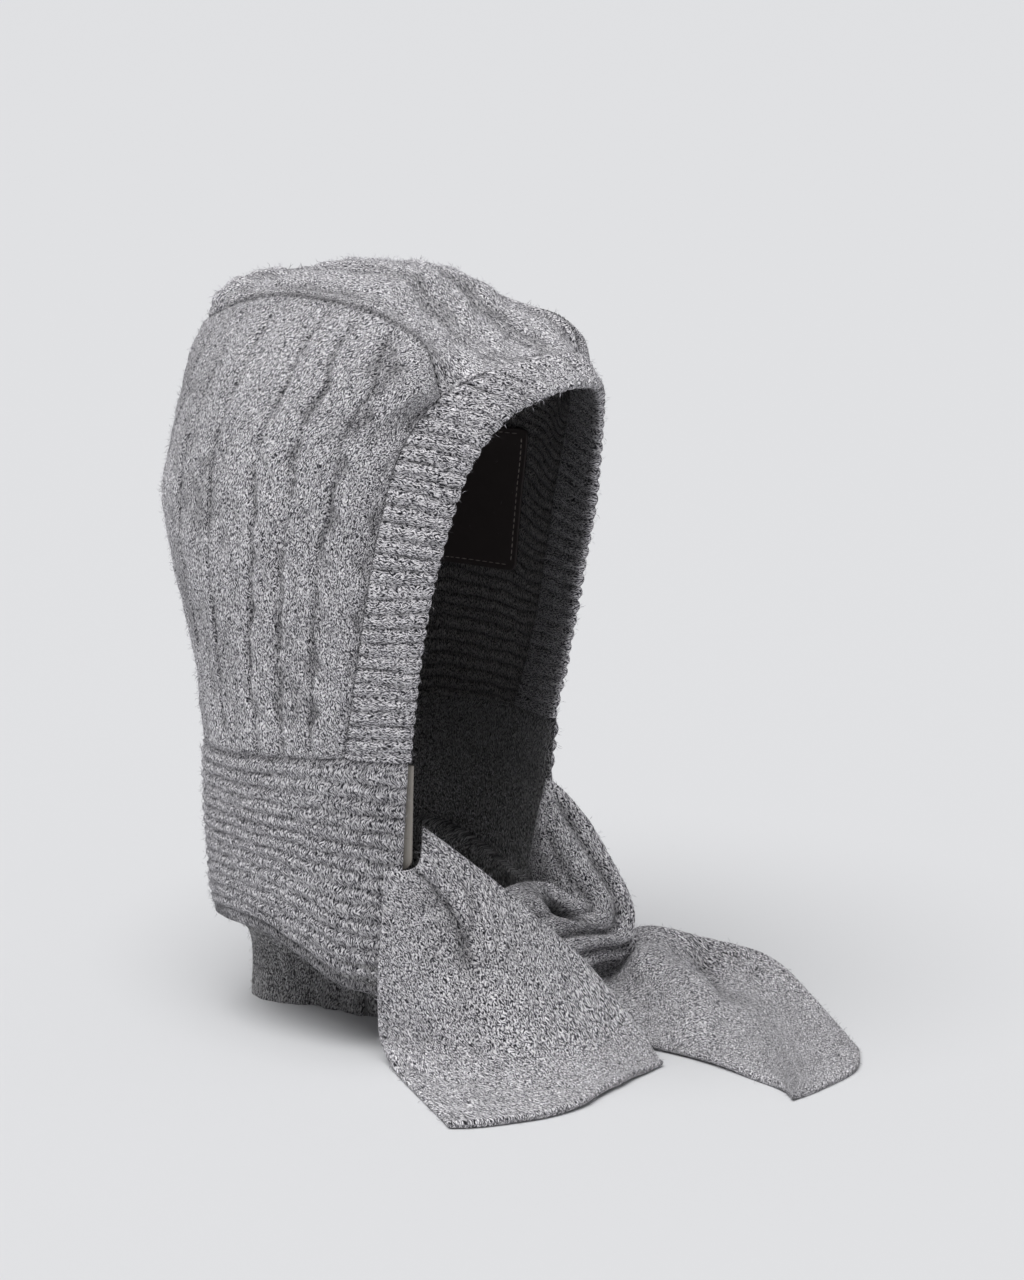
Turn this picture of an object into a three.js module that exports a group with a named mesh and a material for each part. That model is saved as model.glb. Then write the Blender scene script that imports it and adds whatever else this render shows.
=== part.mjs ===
// A knitted wool hood with two scarf ends, standing by itself on the floor.
// Lengths are in millimetres, +Z is up and the face opening looks along -Y.
// The near side of the hood is the wearer's right, at -X.
import * as THREE from 'three';

// Hood
const hoodHeight = 404;
const hoodWidth = 186;
const hoodDepth = 255;
const neckSeamHeight = 147;
const neckSeamRise = 12;
const knitWall = 4;
const seamGap = 0.6;
const innerEase = 0.5;

// Face opening and its doubled ribbed band
const faceHeight = 357;
const faceWidth = 133;
const bandWidth = 33;
const bandWall = 6;
const ribPitch = 7.6;
const ribDepth = 1.5;

// Relief of the side and top panels
const cableDepth = 2.4;
const cablePitch = 26;
const creaseDepth = 2.2;

// Collar and the layer under it
const collarWidth = 164;
const collarDepth = 160;
const ridgePitch = 6.6;
const ridgeDepth = 1.3;
const collarFront = 0.13;
const underBow = 6;
const footHeight = 32;
const footWidth = 84;
const footDepth = 118;
const footWall = 4;
const layGap = 0.4;

// Scarf ends
const scarfWall = 4;
const rightSpread = 150;
const rightReach = 115;
const rightTieHeight = 122;
const leftSpread = 100;
const leftReach = 198;
const leftTieHeight = 123;
const pleatDepth = 5;
const scarfCreaseDepth = 6;

// Inner patch and edge tab
const patchWidth = 80;
const patchHeight = 78;
const patchWall = 1.4;
const patchSeat = 0.9;
const patchCentreHeight = 266;
const patchSetBack = 63;
const patchLean = 12;
const tabLength = 57;
const tabWidth = 13;
const tabShow = 3;
const tabWall = 1.6;
const tabDrop = 2;

// Number of facets
const creaseColumns = 15;
const backColumns = 5;
const sideRows = 18;
const innerRows = 9;
const collarColumns = 12;
const collarInnerRows = 7;
const scarfColumns = 12;
const rightRows = 18;
const leftRows = 36;
const patchSteps = 8;
const tabSteps = 9;

// Face edge, from the neck seam up to the forehead: shares of faceHeight, half of faceWidth and
// hoodDepth. The seam columns give the way from the edge to the band's seam, per bandWidth.
const faceEdge = [
  { up: 0.445, out: 0.945, forward: 0.342, seamOut: 0.365, seamBack: 1, seamUp: 0.0 },
  { up: 0.56, out: 0.992, forward: 0.373, seamOut: 0.365, seamBack: 0.946, seamUp: 0.0 },
  { up: 0.672, out: 1, forward: 0.404, seamOut: 0.365, seamBack: 0.946, seamUp: 0.0 },
  { up: 0.773, out: 0.962, forward: 0.439, seamOut: 0.405, seamBack: 0.973, seamUp: 0.108 },
  { up: 0.88, out: 0.842, forward: 0.478, seamOut: 0.514, seamBack: 0.946, seamUp: 0.189 },
  { up: 0.947, out: 0.62, forward: 0.523, seamOut: 0.541, seamBack: 0.865, seamUp: 0.32 },
  { up: 0.98, out: 0.32, forward: 0.562, seamOut: 0.405, seamBack: 0.7, seamUp: 0.44 },
  { up: 0.992, out: 0, forward: 0.576, seamOut: 0, seamBack: 0.82, seamUp: 0.45 },
];
// The band row at which the side panel ends and the top panel begins
const cornerRow = 5;

// Level sections of the head: shares of hoodHeight, half of hoodWidth and hoodDepth
const headSections = [
  { up: 0.359, out: 0.903, back: 0.314 },
  { up: 0.413, out: 0.912, back: 0.323 },
  { up: 0.491, out: 0.93, back: 0.34 },
  { up: 0.612, out: 0.982, back: 0.403 },
  { up: 0.69, out: 1, back: 0.424 },
  { up: 0.744, out: 0.989, back: 0.416 },
  { up: 0.811, out: 0.946, back: 0.392 },
  { up: 0.877, out: 0.86, back: 0.353 },
  { up: 0.956, out: 0.645, back: 0.29 },
];

// Crease between the side and top panels, from the band to the centre back
const creaseLine = [
  { along: 0, out: 0.64, forward: 0.41, up: 0.87 },
  { along: 0.08, out: 0.642, forward: 0.4, up: 0.903 },
  { along: 0.16, out: 0.638, forward: 0.368, up: 0.932 },
  { along: 0.28, out: 0.622, forward: 0.275, up: 0.956 },
  { along: 0.42, out: 0.591, forward: 0.153, up: 0.966 },
  { along: 0.58, out: 0.559, forward: 0, up: 0.968 },
  { along: 0.71, out: 0.495, forward: -0.133, up: 0.953 },
  { along: 0.85, out: 0.409, forward: -0.265, up: 0.92 },
  { along: 0.93, out: 0.237, forward: -0.3, up: 0.916 },
  { along: 1, out: 0, forward: -0.309, up: 0.915 },
];
// Where the side crease turns along the back edge of the top panel
const creaseCorner = 0.85;

// Middle line of the crown, from the band seam to the back edge, with its dip and rear hump
const crownLine = [
  { along: 0, forward: 0.47, up: 0.912 },
  { along: 0.08, forward: 0.427, up: 0.916 },
  { along: 0.18, forward: 0.357, up: 0.932 },
  { along: 0.3, forward: 0.251, up: 0.972 },
  { along: 0.4, forward: 0.18, up: 0.996 },
  { along: 0.62, forward: -0.05, up: 0.99 },
  { along: 0.74, forward: -0.145, up: 0.964 },
  { along: 0.82, forward: -0.2, up: 0.969 },
  { along: 0.89, forward: -0.245, up: 0.96 },
  { along: 0.95, forward: -0.284, up: 0.945 },
  { along: 1, forward: -0.309, up: 0.915 },
];

// Collar plan from the front edge round to the centre back. The seam, waist and fold columns are
// shares of half of collarWidth and of half of collarDepth; foldUp is a share of neckSeamHeight.
const collarPlan = [
  { around: 0, waistOut: 0.735, waistBack: -1.0, foldOut: 0.72, foldBack: -0.95, foldUp: 0.22 },
  { around: 0.13, waistOut: 0.9, waistBack: -0.62, foldOut: 0.87, foldBack: -0.6, foldUp: 0.25 },
  { around: 0.25, waistOut: 0.97, waistBack: -0.28, foldOut: 0.93, foldBack: -0.27, foldUp: 0.34 },
  { around: 0.38, waistOut: 0.98, waistBack: 0.08, foldOut: 0.94, foldBack: 0.06, foldUp: 0.4 },
  { around: 0.55, waistOut: 0.87, waistBack: 0.53, foldOut: 0.82, foldBack: 0.5, foldUp: 0.39 },
  { around: 0.75, waistOut: 0.56, waistBack: 0.84, foldOut: 0.53, foldBack: 0.8, foldUp: 0.36 },
  { around: 1, waistOut: 0, waistBack: 0.97, foldOut: 0, foldBack: 0.93, foldUp: 0.35 },
];

// Plan of the foot, round its middle, as shares of half of footWidth and half of footDepth
const footPlan = [
  { out: -0.2, back: -0.95 },
  { out: -0.52, back: -0.55 },
  { out: -0.62, back: 0.05 },
  { out: -0.83, back: 0.47 },
  { out: -0.6, back: 0.77 },
  { out: -0.08, back: 0.92 },
  { out: 0.62, back: 0.84 },
  { out: 1, back: 0.35 },
  { out: 0.92, back: -0.4 },
  { out: 0.45, back: -0.95 },
];
const footShift = { out: 0.05, back: 0.1 };

// Near scarf end, from the tie to the hem. Each row gives three points across, left edge,
// middle and right edge, as shares of rightSpread, rightReach and rightTieHeight.
const rightScarfRows = [
  [[-0.061, -0.043, 0.836], [0.026, 0.052, 0.852], [0.092, 0.017, 1]],
  [[-0.074, -0.039, 0.672], [0.066, 0.157, 0.721], [0.179, 0.157, 0.869]],
  [[-0.081, -0.052, 0.492], [0.092, 0.261, 0.557], [0.279, 0.287, 0.721]],
  [[-0.084, -0.061, 0.311], [0.092, 0.365, 0.369], [0.359, 0.417, 0.574]],
  [[-0.074, -0.043, 0.066], [0.079, 0.522, 0.148], [0.452, 0.583, 0.393]],
  [[-0.234, 0.278, 0], [0.066, 0.696, 0.049], [0.532, 0.783, 0.131]],
  [[-0.468, 0.757, 0], [0.052, 0.983, 0], [0.479, 0.983, 0]],
];
const rightHemBow = 0.09;

// Far scarf end, from the tie round the front, under the near end and out again as a flap.
// Four points across each row, as shares of leftSpread, leftReach and leftTieHeight.
const leftScarfRows = [
  [[-0.219, 0.027, 0.683], [-0.139, 0.036, 0.943], [-0.019, 0.0268, 1.01], [0.081, 0.021, 0.569]],
  [[-0.229, 0.051, 0.585], [-0.139, 0.096, 0.748], [0.101, 0.081, 0.862], [0.221, 0.071, 0.488]],
  [[-0.219, 0.086, 0.504], [-0.129, 0.131, 0.65], [0.151, 0.152, 0.683], [0.262, 0.111, 0.407]],
  [[-0.179, 0.136, 0.48], [-0.059, 0.182, 0.52], [0.191, 0.212, 0.488], [0.281, 0.162, 0.309]],
  [[-0.329, 0.131, 0.642], [-0.119, 0.192, 0.472], [0.121, 0.227, 0.341], [0.201, 0.202, 0.244]],
  [[-0.558, 0.091, 0.659], [-0.399, 0.162, 0.504], [-0.199, 0.212, 0.358], [-0.019, 0.202, 0.252]],
  [[-0.778, 0.101, 0.585], [-0.698, 0.152, 0.455], [-0.619, 0.192, 0.341], [-0.518, 0.212, 0.228]],
  [[-0.898, 0.121, 0.488], [-0.858, 0.162, 0.374], [-0.818, 0.197, 0.26], [-0.758, 0.222, 0.146]],
  [[-0.978, 0.111, 0.309], [-0.958, 0.152, 0.228], [-0.918, 0.192, 0.146], [-0.858, 0.232, 0.073]],
  [[-0.898, 0.061, 0.114], [-0.878, 0.131, 0.081], [-0.838, 0.212, 0.049], [-0.798, 0.293, 0.024]],
  [[-0.548, 0.02, 0.073], [-0.599, 0.121, 0.065], [-0.658, 0.232, 0.049], [-0.718, 0.354, 0.024]],
  [[-0.149, 0.01, 0.098], [-0.219, 0.131, 0.098], [-0.319, 0.263, 0.081], [-0.498, 0.404, 0.024]],
  [[0.281, 0.081, 0.179], [0.121, 0.192, 0.171], [-0.079, 0.303, 0.13], [-0.339, 0.444, 0.024]],
  [[0.421, 0.167, 0.309], [0.241, 0.263, 0.268], [0.021, 0.364, 0.195], [-0.298, 0.515, 0.016]],
  [[0.702, 0.273, 0.244], [0.551, 0.328, 0.114], [0.121, 0.455, 0.179], [-0.308, 0.646, 0.016]],
  [[0.952, 0.394, 0.146], [0.621, 0.465, 0.057], [0.101, 0.631, 0.081], [-0.359, 0.788, 0.016]],
  [[0.802, 0.611, 0.041], [0.452, 0.667, 0.024], [0.001, 0.783, 0.033], [-0.419, 0.919, 0.016]],
  [[0.322, 0.914, 0.016], [0.061, 0.99, 0.016], [-0.298, 1, 0.016], [-0.518, 0.99, 0.016]],
];

function mix(a, b, share) {
  return a + (b - a) * share;
}

function mixPoints(a, b, share) {
  return [mix(a[0], b[0], share), mix(a[1], b[1], share), mix(a[2], b[2], share)];
}

function clampShare(value) {
  return Math.min(1, Math.max(0, value));
}

// A smooth step from 0 to 1 between two values
function rise(value, start, end) {
  const share = clampShare((value - start) / (end - start));
  return share * share * (3 - 2 * share);
}

function moved(point, direction, distance) {
  return [
    point[0] + direction[0] * distance,
    point[1] + direction[1] * distance,
    point[2] + direction[2] * distance,
  ];
}

function unit(vector) {
  const length = Math.hypot(vector[0], vector[1], vector[2]) || 1;
  return [vector[0] / length, vector[1] / length, vector[2] / length];
}

function minus(a, b) {
  return [a[0] - b[0], a[1] - b[1], a[2] - b[2]];
}

function cross(a, b) {
  return [
    a[1] * b[2] - a[2] * b[1],
    a[2] * b[0] - a[0] * b[2],
    a[0] * b[1] - a[1] * b[0],
  ];
}

function mirrored(point, side) {
  return [point[0] * side, point[1], point[2]];
}

// Value of a smooth curve through a list of numbers or points, at a share of its length
function smoothValue(values, position) {
  const last = values.length - 1;
  const at = clampShare(position) * last;
  const index = Math.min(last - 1, Math.floor(at));
  const t = at - index;
  const p0 = values[Math.max(0, index - 1)];
  const p1 = values[index];
  const p2 = values[index + 1];
  const p3 = values[Math.min(last, index + 2)];
  const blend = (a, b, c, d) => {
    const bend = (2 * a - 5 * b + 4 * c - d) * t;
    const twist = (3 * b - a - 3 * c + d) * t * t;
    return b + 0.5 * t * (c - a + bend + twist);
  };
  if (typeof p1 === 'number') {
    return blend(p0, p1, p2, p3);
  }
  return p1.map((value, axis) => blend(p0[axis], value, p2[axis], p3[axis]));
}

// Column of a table read at a value of its key column
function readTable(rows, key, value, column) {
  const last = rows.length - 1;
  let index = 0;
  while (index < last - 1 && rows[index + 1][key] < value) {
    index += 1;
  }
  const share = clampShare((value - rows[index][key]) / (rows[index + 1][key] - rows[index][key]));
  return smoothValue(rows.map((row) => row[column]), (index + share) / last);
}

// Direction across the hood's wall, the same for pieces that meet at a seam
function wallDirection(point) {
  const halfWidth = hoodWidth / 2;
  const halfDepth = hoodDepth * 0.43;
  const shoulder = hoodHeight * 0.69;
  const crown = hoodHeight - shoulder;
  return unit([
    point[0] / halfWidth ** 2,
    point[1] / halfDepth ** 2,
    Math.max(0, point[2] - shoulder) / crown ** 2,
  ]);
}

// Band edge and band seam, both at a share of the way from the neck seam to the forehead
const edgePoints = faceEdge.map((row) => [
  row.out * faceWidth / 2,
  -row.forward * hoodDepth,
  row.up * faceHeight,
]);
edgePoints[0][2] = neckSeamHeight + neckSeamRise;
const seamPoints = faceEdge.map((row, index) => [
  edgePoints[index][0] + row.seamOut * bandWidth,
  edgePoints[index][1] + row.seamBack * bandWidth,
  edgePoints[index][2] + row.seamUp * bandWidth,
]);
const cornerShare = cornerRow / (faceEdge.length - 1);
// The seam is a chain of straight steps, so that the pieces on its two sides meet exactly
const seamSteps = sideRows + 10;
const seamChain = [];
for (let step = 0; step <= seamSteps; step += 1) {
  const low = step <= sideRows;
  const share = low
    ? cornerShare * step / sideRows
    : mix(cornerShare, 1, (step - sideRows) / (seamSteps - sideRows));
  seamChain.push(smoothValue(seamPoints, share));
}

function bandSeam(share) {
  const low = share <= cornerShare;
  const at = low
    ? share / cornerShare * sideRows
    : mix(sideRows, seamSteps, (share - cornerShare) / (1 - cornerShare));
  const index = Math.min(seamSteps - 1, Math.floor(at));
  return mixPoints(seamChain[index], seamChain[index + 1], at - index);
}

function creaseCurve(along) {
  const point = [
    readTable(creaseLine, 'along', along, 'out') * hoodWidth / 2,
    -readTable(creaseLine, 'along', along, 'forward') * hoodDepth,
    readTable(creaseLine, 'along', along, 'up') * hoodHeight,
  ];
  return mixPoints(point, seamPoints[cornerRow], 1 - rise(along, 0, 0.12));
}

// The crease is a chain of straight steps too, with a step's end at its corner
const sideAround = [
  ...evenSteps(creaseColumns, 0, creaseCorner),
  ...evenSteps(backColumns, creaseCorner, 1).slice(1),
];
const creaseChain = sideAround.map(creaseCurve);

function creasePoint(along) {
  const side = along <= creaseCorner;
  const at = side
    ? along / creaseCorner * creaseColumns
    : creaseColumns + (along - creaseCorner) / (1 - creaseCorner) * backColumns;
  const index = Math.min(creaseChain.length - 2, Math.floor(at));
  return mixPoints(creaseChain[index], creaseChain[index + 1], at - index);
}

// Point of a level section, from the band seam (0) round to the centre back (1). Above the
// seam's corner the section keeps its shape and shrinks with the head.
function sectionPoint(height, around) {
  const halfWidthAt = (level) => {
    return readTable(headSections, 'up', level / hoodHeight, 'out') * hoodWidth / 2;
  };
  const seam = seamAtHeight(height);
  const seamWidth = halfWidthAt(Math.min(height, seamPoints[cornerRow][2]));
  const halfWidth = halfWidthAt(height);
  const back = readTable(headSections, 'up', height / hoodHeight, 'back') * hoodDepth;
  const start = Math.asin(Math.min(0.97, seam[0] / seamWidth));
  const front = -seam[1] / Math.cos(start) * halfWidth / seamWidth;
  const turn = mix(start, Math.PI, around);
  const depth = turn < Math.PI / 2 ? front : back;
  return [halfWidth * Math.sin(turn), -depth * Math.cos(turn), height];
}

// Height of the neck seam, which rises toward the face
function neckSeamLevel(around) {
  return neckSeamHeight + neckSeamRise * (1 - around) ** 2;
}

// Level section bent at its top so that it ends on the crease
function bentSection(around, up) {
  const crease = creasePoint(around);
  const height = mix(neckSeamLevel(around), crease[2], up);
  const point = sectionPoint(height, around);
  const top = sectionPoint(crease[2], around);
  return point.map((value, axis) => value + (crease[axis] - top[axis]) * up ** 4);
}

// Plain surface of a side panel: around from the band to the centre back, up from the neck
// seam to the crease
function sidePlain(around, up) {
  const point = bentSection(around, up);
  const front = bentSection(0, up);
  const seam = bandSeam(up * cornerShare);
  return point.map((value, axis) => value + (seam[axis] - front[axis]) * (1 - around) ** 6);
}

// Seam point at a height, used above the corner too so that the head sections stay smooth
function seamAtHeight(height) {
  const top = seamPoints[cornerRow][2];
  const bottom = seamPoints[0][2];
  const share = clampShare((height - bottom) / (top - bottom));
  let low = 0;
  let high = cornerShare;
  for (let step = 0; step < 24; step += 1) {
    const middle = (low + high) / 2;
    if (bandSeam(middle)[2] < mix(bottom, top, share)) {
      low = middle;
    } else {
      high = middle;
    }
  }
  return bandSeam(low);
}

// Grooves and cables of the side panels: place round the panel, width and depth share
const sideCables = [
  { around: 0.0, width: 0.03, depth: 0.5 },
  { around: 0.113, width: 0.025, depth: 1 },
  { around: 0.17, width: 0.02, depth: 0.7 },
  { around: 0.24, width: 0.03, depth: 1 },
  { around: 0.4, width: 0.03, depth: 1 },
  { around: 0.57, width: 0.03, depth: 0.6 },
  { around: 0.7, width: 0.03, depth: 0.6 },
  { around: 0.85, width: 0.03, depth: 0.6 },
];

function sideRelief(around, height) {
  let depth = 0;
  for (const groove of sideCables) {
    const share = (around - groove.around) / groove.width;
    depth -= cableDepth * groove.depth * Math.exp(-share * share);
  }
  const twist = Math.sin(height / cablePitch * 2 * Math.PI);
  const column = rise(around, 0.02, 0.05) * (1 - rise(around, 0.07, 0.11));
  return depth + column * cableDepth * 0.4 * twist;
}

function sideOuter(around, up) {
  const point = sidePlain(around, up);
  const fade = rise(up, 0, 0.04) * (1 - rise(up, 0.93, 1)) * (1 - rise(around, 0.96, 1));
  const relief = sideRelief(around, point[2]) * fade * rise(around, 0, 0.02);
  const crease = -creaseDepth * rise(up, 0.94, 1);
  return moved(point, wallDirection(point), relief + crease);
}

function sideInner(around, up) {
  const point = sidePlain(around, up);
  return moved(point, wallDirection(point), -knitWall - creaseDepth * rise(up, 0.94, 1));
}

// Plain surface of the top panel: along from the band to the back edge, across from -1 to 1
function topPlain(along, across) {
  const side = Math.sign(across) || 1;
  const share = Math.abs(across);
  const edge = creasePoint(along * creaseCorner);
  const middle = [
    0,
    -readTable(crownLine, 'along', along, 'forward') * hoodDepth,
    readTable(crownLine, 'along', along, 'up') * hoodHeight,
  ];
  const point = [
    edge[0] * share,
    mix(middle[1], edge[1], share ** 3.5),
    mix(middle[2], edge[2], share ** 2.2),
  ];
  const seam = bandSeam(mix(1, cornerShare, share));
  const start = creasePoint(0);
  const first = [
    start[0] * share,
    mix(-crownLine[0].forward * hoodDepth, start[1], share ** 3.5),
    mix(crownLine[0].up * hoodHeight, start[2], share ** 2.2),
  ];
  const rear = creasePoint(mix(1, creaseCorner, share));
  const end = creasePoint(creaseCorner);
  const last = [
    end[0] * share,
    mix(-crownLine[crownLine.length - 1].forward * hoodDepth, end[1], share ** 3.5),
    mix(crownLine[crownLine.length - 1].up * hoodHeight, end[2], share ** 2.2),
  ];
  const atFront = (1 - along) ** 4;
  const atRear = along ** 4;
  const placed = [0, 1, 2].map((axis) => {
    const bySeam = (seam[axis] - first[axis]) * atFront;
    return point[axis] + bySeam + (rear[axis] - last[axis]) * atRear;
  });
  return mirrored(placed, side);
}

function topOuter(along, across) {
  const point = topPlain(along, across);
  const share = Math.abs(across);
  const fade = rise(along, 0, 0.05) * (1 - rise(along, 0.93, 1)) * (1 - rise(share, 0.9, 1));
  const groove = Math.cos(across * 4 * Math.PI);
  const relief = cableDepth * 0.5 * groove * fade;
  const border = Math.max(rise(share, 0.94, 1), rise(along, 0.95, 1));
  return moved(point, wallDirection(point), relief - creaseDepth * border);
}

function topInner(along, across) {
  const point = topPlain(along, across);
  const border = Math.max(rise(Math.abs(across), 0.94, 1), rise(along, 0.95, 1));
  return moved(point, wallDirection(point), -knitWall - creaseDepth * border);
}

// Rows and columns of points of a surface
function pointGrid(surface, columns, rows) {
  return rows.map((v) => columns.map((u) => surface(u, v)));
}

function evenSteps(count, from = 0, to = 1) {
  return Array.from({ length: count + 1 }, (_, index) => mix(from, to, index / count));
}

// Moves the border points of a grid inward along their row or column
function pulledIn(grid, gap) {
  const rows = grid.length;
  const columns = grid[0].length;
  const result = grid.map((row) => row.slice());
  const toward = (from, to) => moved(from, unit(minus(to, from)), gap);
  for (let r = 0; r < rows; r += 1) {
    result[r][0] = toward(grid[r][0], grid[r][1]);
    result[r][columns - 1] = toward(grid[r][columns - 1], grid[r][columns - 2]);
  }
  for (let c = 0; c < columns; c += 1) {
    result[0][c] = moved(result[0][c], unit(minus(grid[1][c], grid[0][c])), gap);
    const step = unit(minus(grid[rows - 2][c], grid[rows - 1][c]));
    result[rows - 1][c] = moved(result[rows - 1][c], step, gap);
  }
  return result;
}

function gridNormals(grid) {
  const rows = grid.length;
  const columns = grid[0].length;
  return grid.map((row, r) => row.map((point, c) => {
    const right = grid[r][Math.min(columns - 1, c + 1)];
    const left = grid[r][Math.max(0, c - 1)];
    const above = grid[Math.min(rows - 1, r + 1)][c];
    const below = grid[Math.max(0, r - 1)][c];
    return unit(cross(minus(right, left), minus(above, below)));
  }));
}

// Closed body between an outer and an inner grid that may differ in their numbers of points
function bodyBetween(outer, inner) {
  const positions = [];
  const triangles = [];
  const add = (grid) => grid.map((row) => row.map((point) => {
    positions.push(point[0], point[1], point[2]);
    return positions.length / 3 - 1;
  }));
  const front = add(outer);
  const rear = add(inner);
  const skin = (grid, flip) => {
    for (let r = 0; r < grid.length - 1; r += 1) {
      for (let c = 0; c < grid[0].length - 1; c += 1) {
        const a = grid[r][c];
        const b = grid[r][c + 1];
        const d = grid[r + 1][c];
        const e = grid[r + 1][c + 1];
        triangles.push(flip ? [a, e, b] : [a, b, e]);
        triangles.push(flip ? [a, d, e] : [a, e, d]);
      }
    }
  };
  skin(front, false);
  skin(rear, true);
  // Joins two border lines with a strip, taking the next point on whichever lags behind
  const zip = (first, second, flip) => {
    let i = 0;
    let j = 0;
    while (i < first.length - 1 || j < second.length - 1) {
      const stepFirst = (i + 1) / (first.length - 1);
      const stepSecond = (j + 1) / (second.length - 1);
      if (j === second.length - 1 || (i < first.length - 1 && stepFirst <= stepSecond)) {
        triangles.push(flip
          ? [first[i], first[i + 1], second[j]]
          : [first[i + 1], first[i], second[j]]);
        i += 1;
      } else {
        triangles.push(flip
          ? [first[i], second[j + 1], second[j]]
          : [second[j + 1], first[i], second[j]]);
        j += 1;
      }
    }
  };
  const lastColumn = (grid) => grid.map((row) => row[row.length - 1]);
  const firstColumn = (grid) => grid.map((row) => row[0]);
  zip(front[0], rear[0], false);
  zip(front[front.length - 1], rear[rear.length - 1], true);
  zip(firstColumn(front), firstColumn(rear), true);
  zip(lastColumn(front), lastColumn(rear), false);
  return bodyFrom(positions, triangles);
}

// Geometry with its faces turned outward
function bodyFrom(positions, triangles) {
  let volume = 0;
  const at = (index) => positions.slice(index * 3, index * 3 + 3);
  for (const [a, b, c] of triangles) {
    const p = at(a);
    const q = cross(at(b), at(c));
    volume += p[0] * q[0] + p[1] * q[1] + p[2] * q[2];
  }
  const order = volume < 0 ? triangles.map(([a, b, c]) => [a, c, b]) : triangles;
  const geometry = new THREE.BufferGeometry();
  geometry.setAttribute('position', new THREE.Float32BufferAttribute(positions, 3));
  geometry.setIndex(order.flat());
  geometry.computeVertexNormals();
  return geometry;
}

// Closed ring or bar swept through rows of section points; the ends are capped unless it loops
function sweptBody(sections, loops) {
  const count = sections[0].length;
  const positions = sections.flat(2);
  const triangles = [];
  const steps = loops ? sections.length : sections.length - 1;
  for (let s = 0; s < steps; s += 1) {
    const next = (s + 1) % sections.length;
    for (let k = 0; k < count; k += 1) {
      const a = s * count + k;
      const b = s * count + (k + 1) % count;
      const d = next * count + k;
      const e = next * count + (k + 1) % count;
      triangles.push([a, b, e], [a, e, d]);
    }
  }
  if (!loops) {
    const end = (sections.length - 1) * count;
    for (let k = 1; k < count - 1; k += 1) {
      triangles.push([0, k + 1, k], [end, end + k, end + k + 1]);
    }
  }
  return bodyFrom(positions, triangles);
}

// Knit sheet of even thickness round the middle surface of a grid, lying no lower than the floor
function sheetBody(grid, wall) {
  const normals = gridNormals(grid);
  const side = (share) => grid.map((row, r) => row.map((point, c) => {
    return moved(point, normals[r][c], share * wall);
  }));
  const lift = (points) => points.map((row) => row.map((point) => [
    point[0],
    point[1],
    Math.max(0, point[2]),
  ]));
  return [lift(side(0.5)), lift(side(-0.5))];
}

const wool = new THREE.Color(0.36, 0.36, 0.375);

function woolMaterial(shade) {
  return new THREE.MeshStandardMaterial({
    color: wool.clone().multiplyScalar(shade),
    roughness: 0.95,
    metalness: 0,
  });
}

const hood = new THREE.Group();

function addPiece(name, geometry, material) {
  const mesh = new THREE.Mesh(geometry, material);
  mesh.name = name;
  hood.add(mesh);
  return mesh;
}

// Side panels, with vertical grooves and a twisted cable beside the band
for (const side of [-1, 1]) {
  const outer = pulledIn(
    pointGrid(sideOuter, sideAround, evenSteps(sideRows)),
    seamGap / 2,
  );
  const inner = pulledIn(
    pointGrid(sideInner, sideAround, evenSteps(innerRows)),
    seamGap / 2 + innerEase,
  );
  const flip = (grid) => grid.map((row) => row.map((point) => mirrored(point, side)));
  const name = side < 0 ? 'side_panel_right' : 'side_panel_left';
  addPiece(name, bodyBetween(flip(outer), flip(inner)), woolMaterial(1));
}

// Top panel. Its side borders follow the crease at the side panels' columns.
const topLine = evenSteps(creaseColumns);
const topAcross = evenSteps(4 * backColumns, -1, 1);
const topAcrossInner = evenSteps(2 * backColumns, -1, 1);
addPiece(
  'top_panel',
  bodyBetween(
    pulledIn(pointGrid((across, along) => topOuter(along, across), topAcross, topLine), seamGap / 2),
    pulledIn(
      pointGrid((across, along) => topInner(along, across), topAcrossInner, topLine),
      seamGap / 2 + innerEase,
    ),
  ),
  woolMaterial(1),
);

// Face band: a doubled knit strip with a rounded edge, ribbed across
const bandSection = [
  { along: 1, depth: 0 },
  { along: 0.62, depth: -0.04 },
  { along: 0.25, depth: -0.02 },
  { along: 0.07, depth: 0.16 },
  { along: 0, depth: 0.5 },
  { along: 0.07, depth: 0.86 },
  { along: 0.4, depth: 1 },
  { along: 1, depth: 1 },
];

function bandPoint(share, along, depth, rib) {
  const edge = smoothValue(edgePoints, share);
  const seam = bandSeam(share);
  const gapShare = seamGap / 2 / bandWidth;
  const point = mixPoints(edge, seam, Math.min(along, 1 - gapShare));
  const fade = 1 - rise(along, 0.85, 1);
  const swell = ribDepth * rib * fade * (depth < 0.5 ? 1 : -1);
  const noseOut = along < 0.1 ? ribDepth * rib * 0.6 : 0;
  const forward = unit(minus(edge, seam));
  const placed = moved(point, forward, noseOut);
  return moved(placed, wallDirection(seam), swell - depth * bandWall);
}

const halfBandLength = edgePoints.slice(1).reduce(
  (sum, point, index) => sum + Math.hypot(...minus(point, edgePoints[index])),
  0,
);
const ribCount = Math.round(2 * halfBandLength / ribPitch);
const bandShares = [];
{
  // Even steps of length along the edge, two for each rib
  const lengths = [0];
  const fine = evenSteps(400).map((share) => smoothValue(edgePoints, share));
  for (let k = 1; k < fine.length; k += 1) {
    lengths.push(lengths[k - 1] + Math.hypot(...minus(fine[k], fine[k - 1])));
  }
  const total = lengths[lengths.length - 1];
  for (let step = 0; step <= ribCount; step += 1) {
    const wanted = total * step / ribCount;
    let k = 0;
    while (k < lengths.length - 2 && lengths[k + 1] < wanted) {
      k += 1;
    }
    const part = (wanted - lengths[k]) / (lengths[k + 1] - lengths[k]);
    bandShares.push((k + clampShare(part)) / (fine.length - 1));
  }
}
const bandRows = [];
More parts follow.
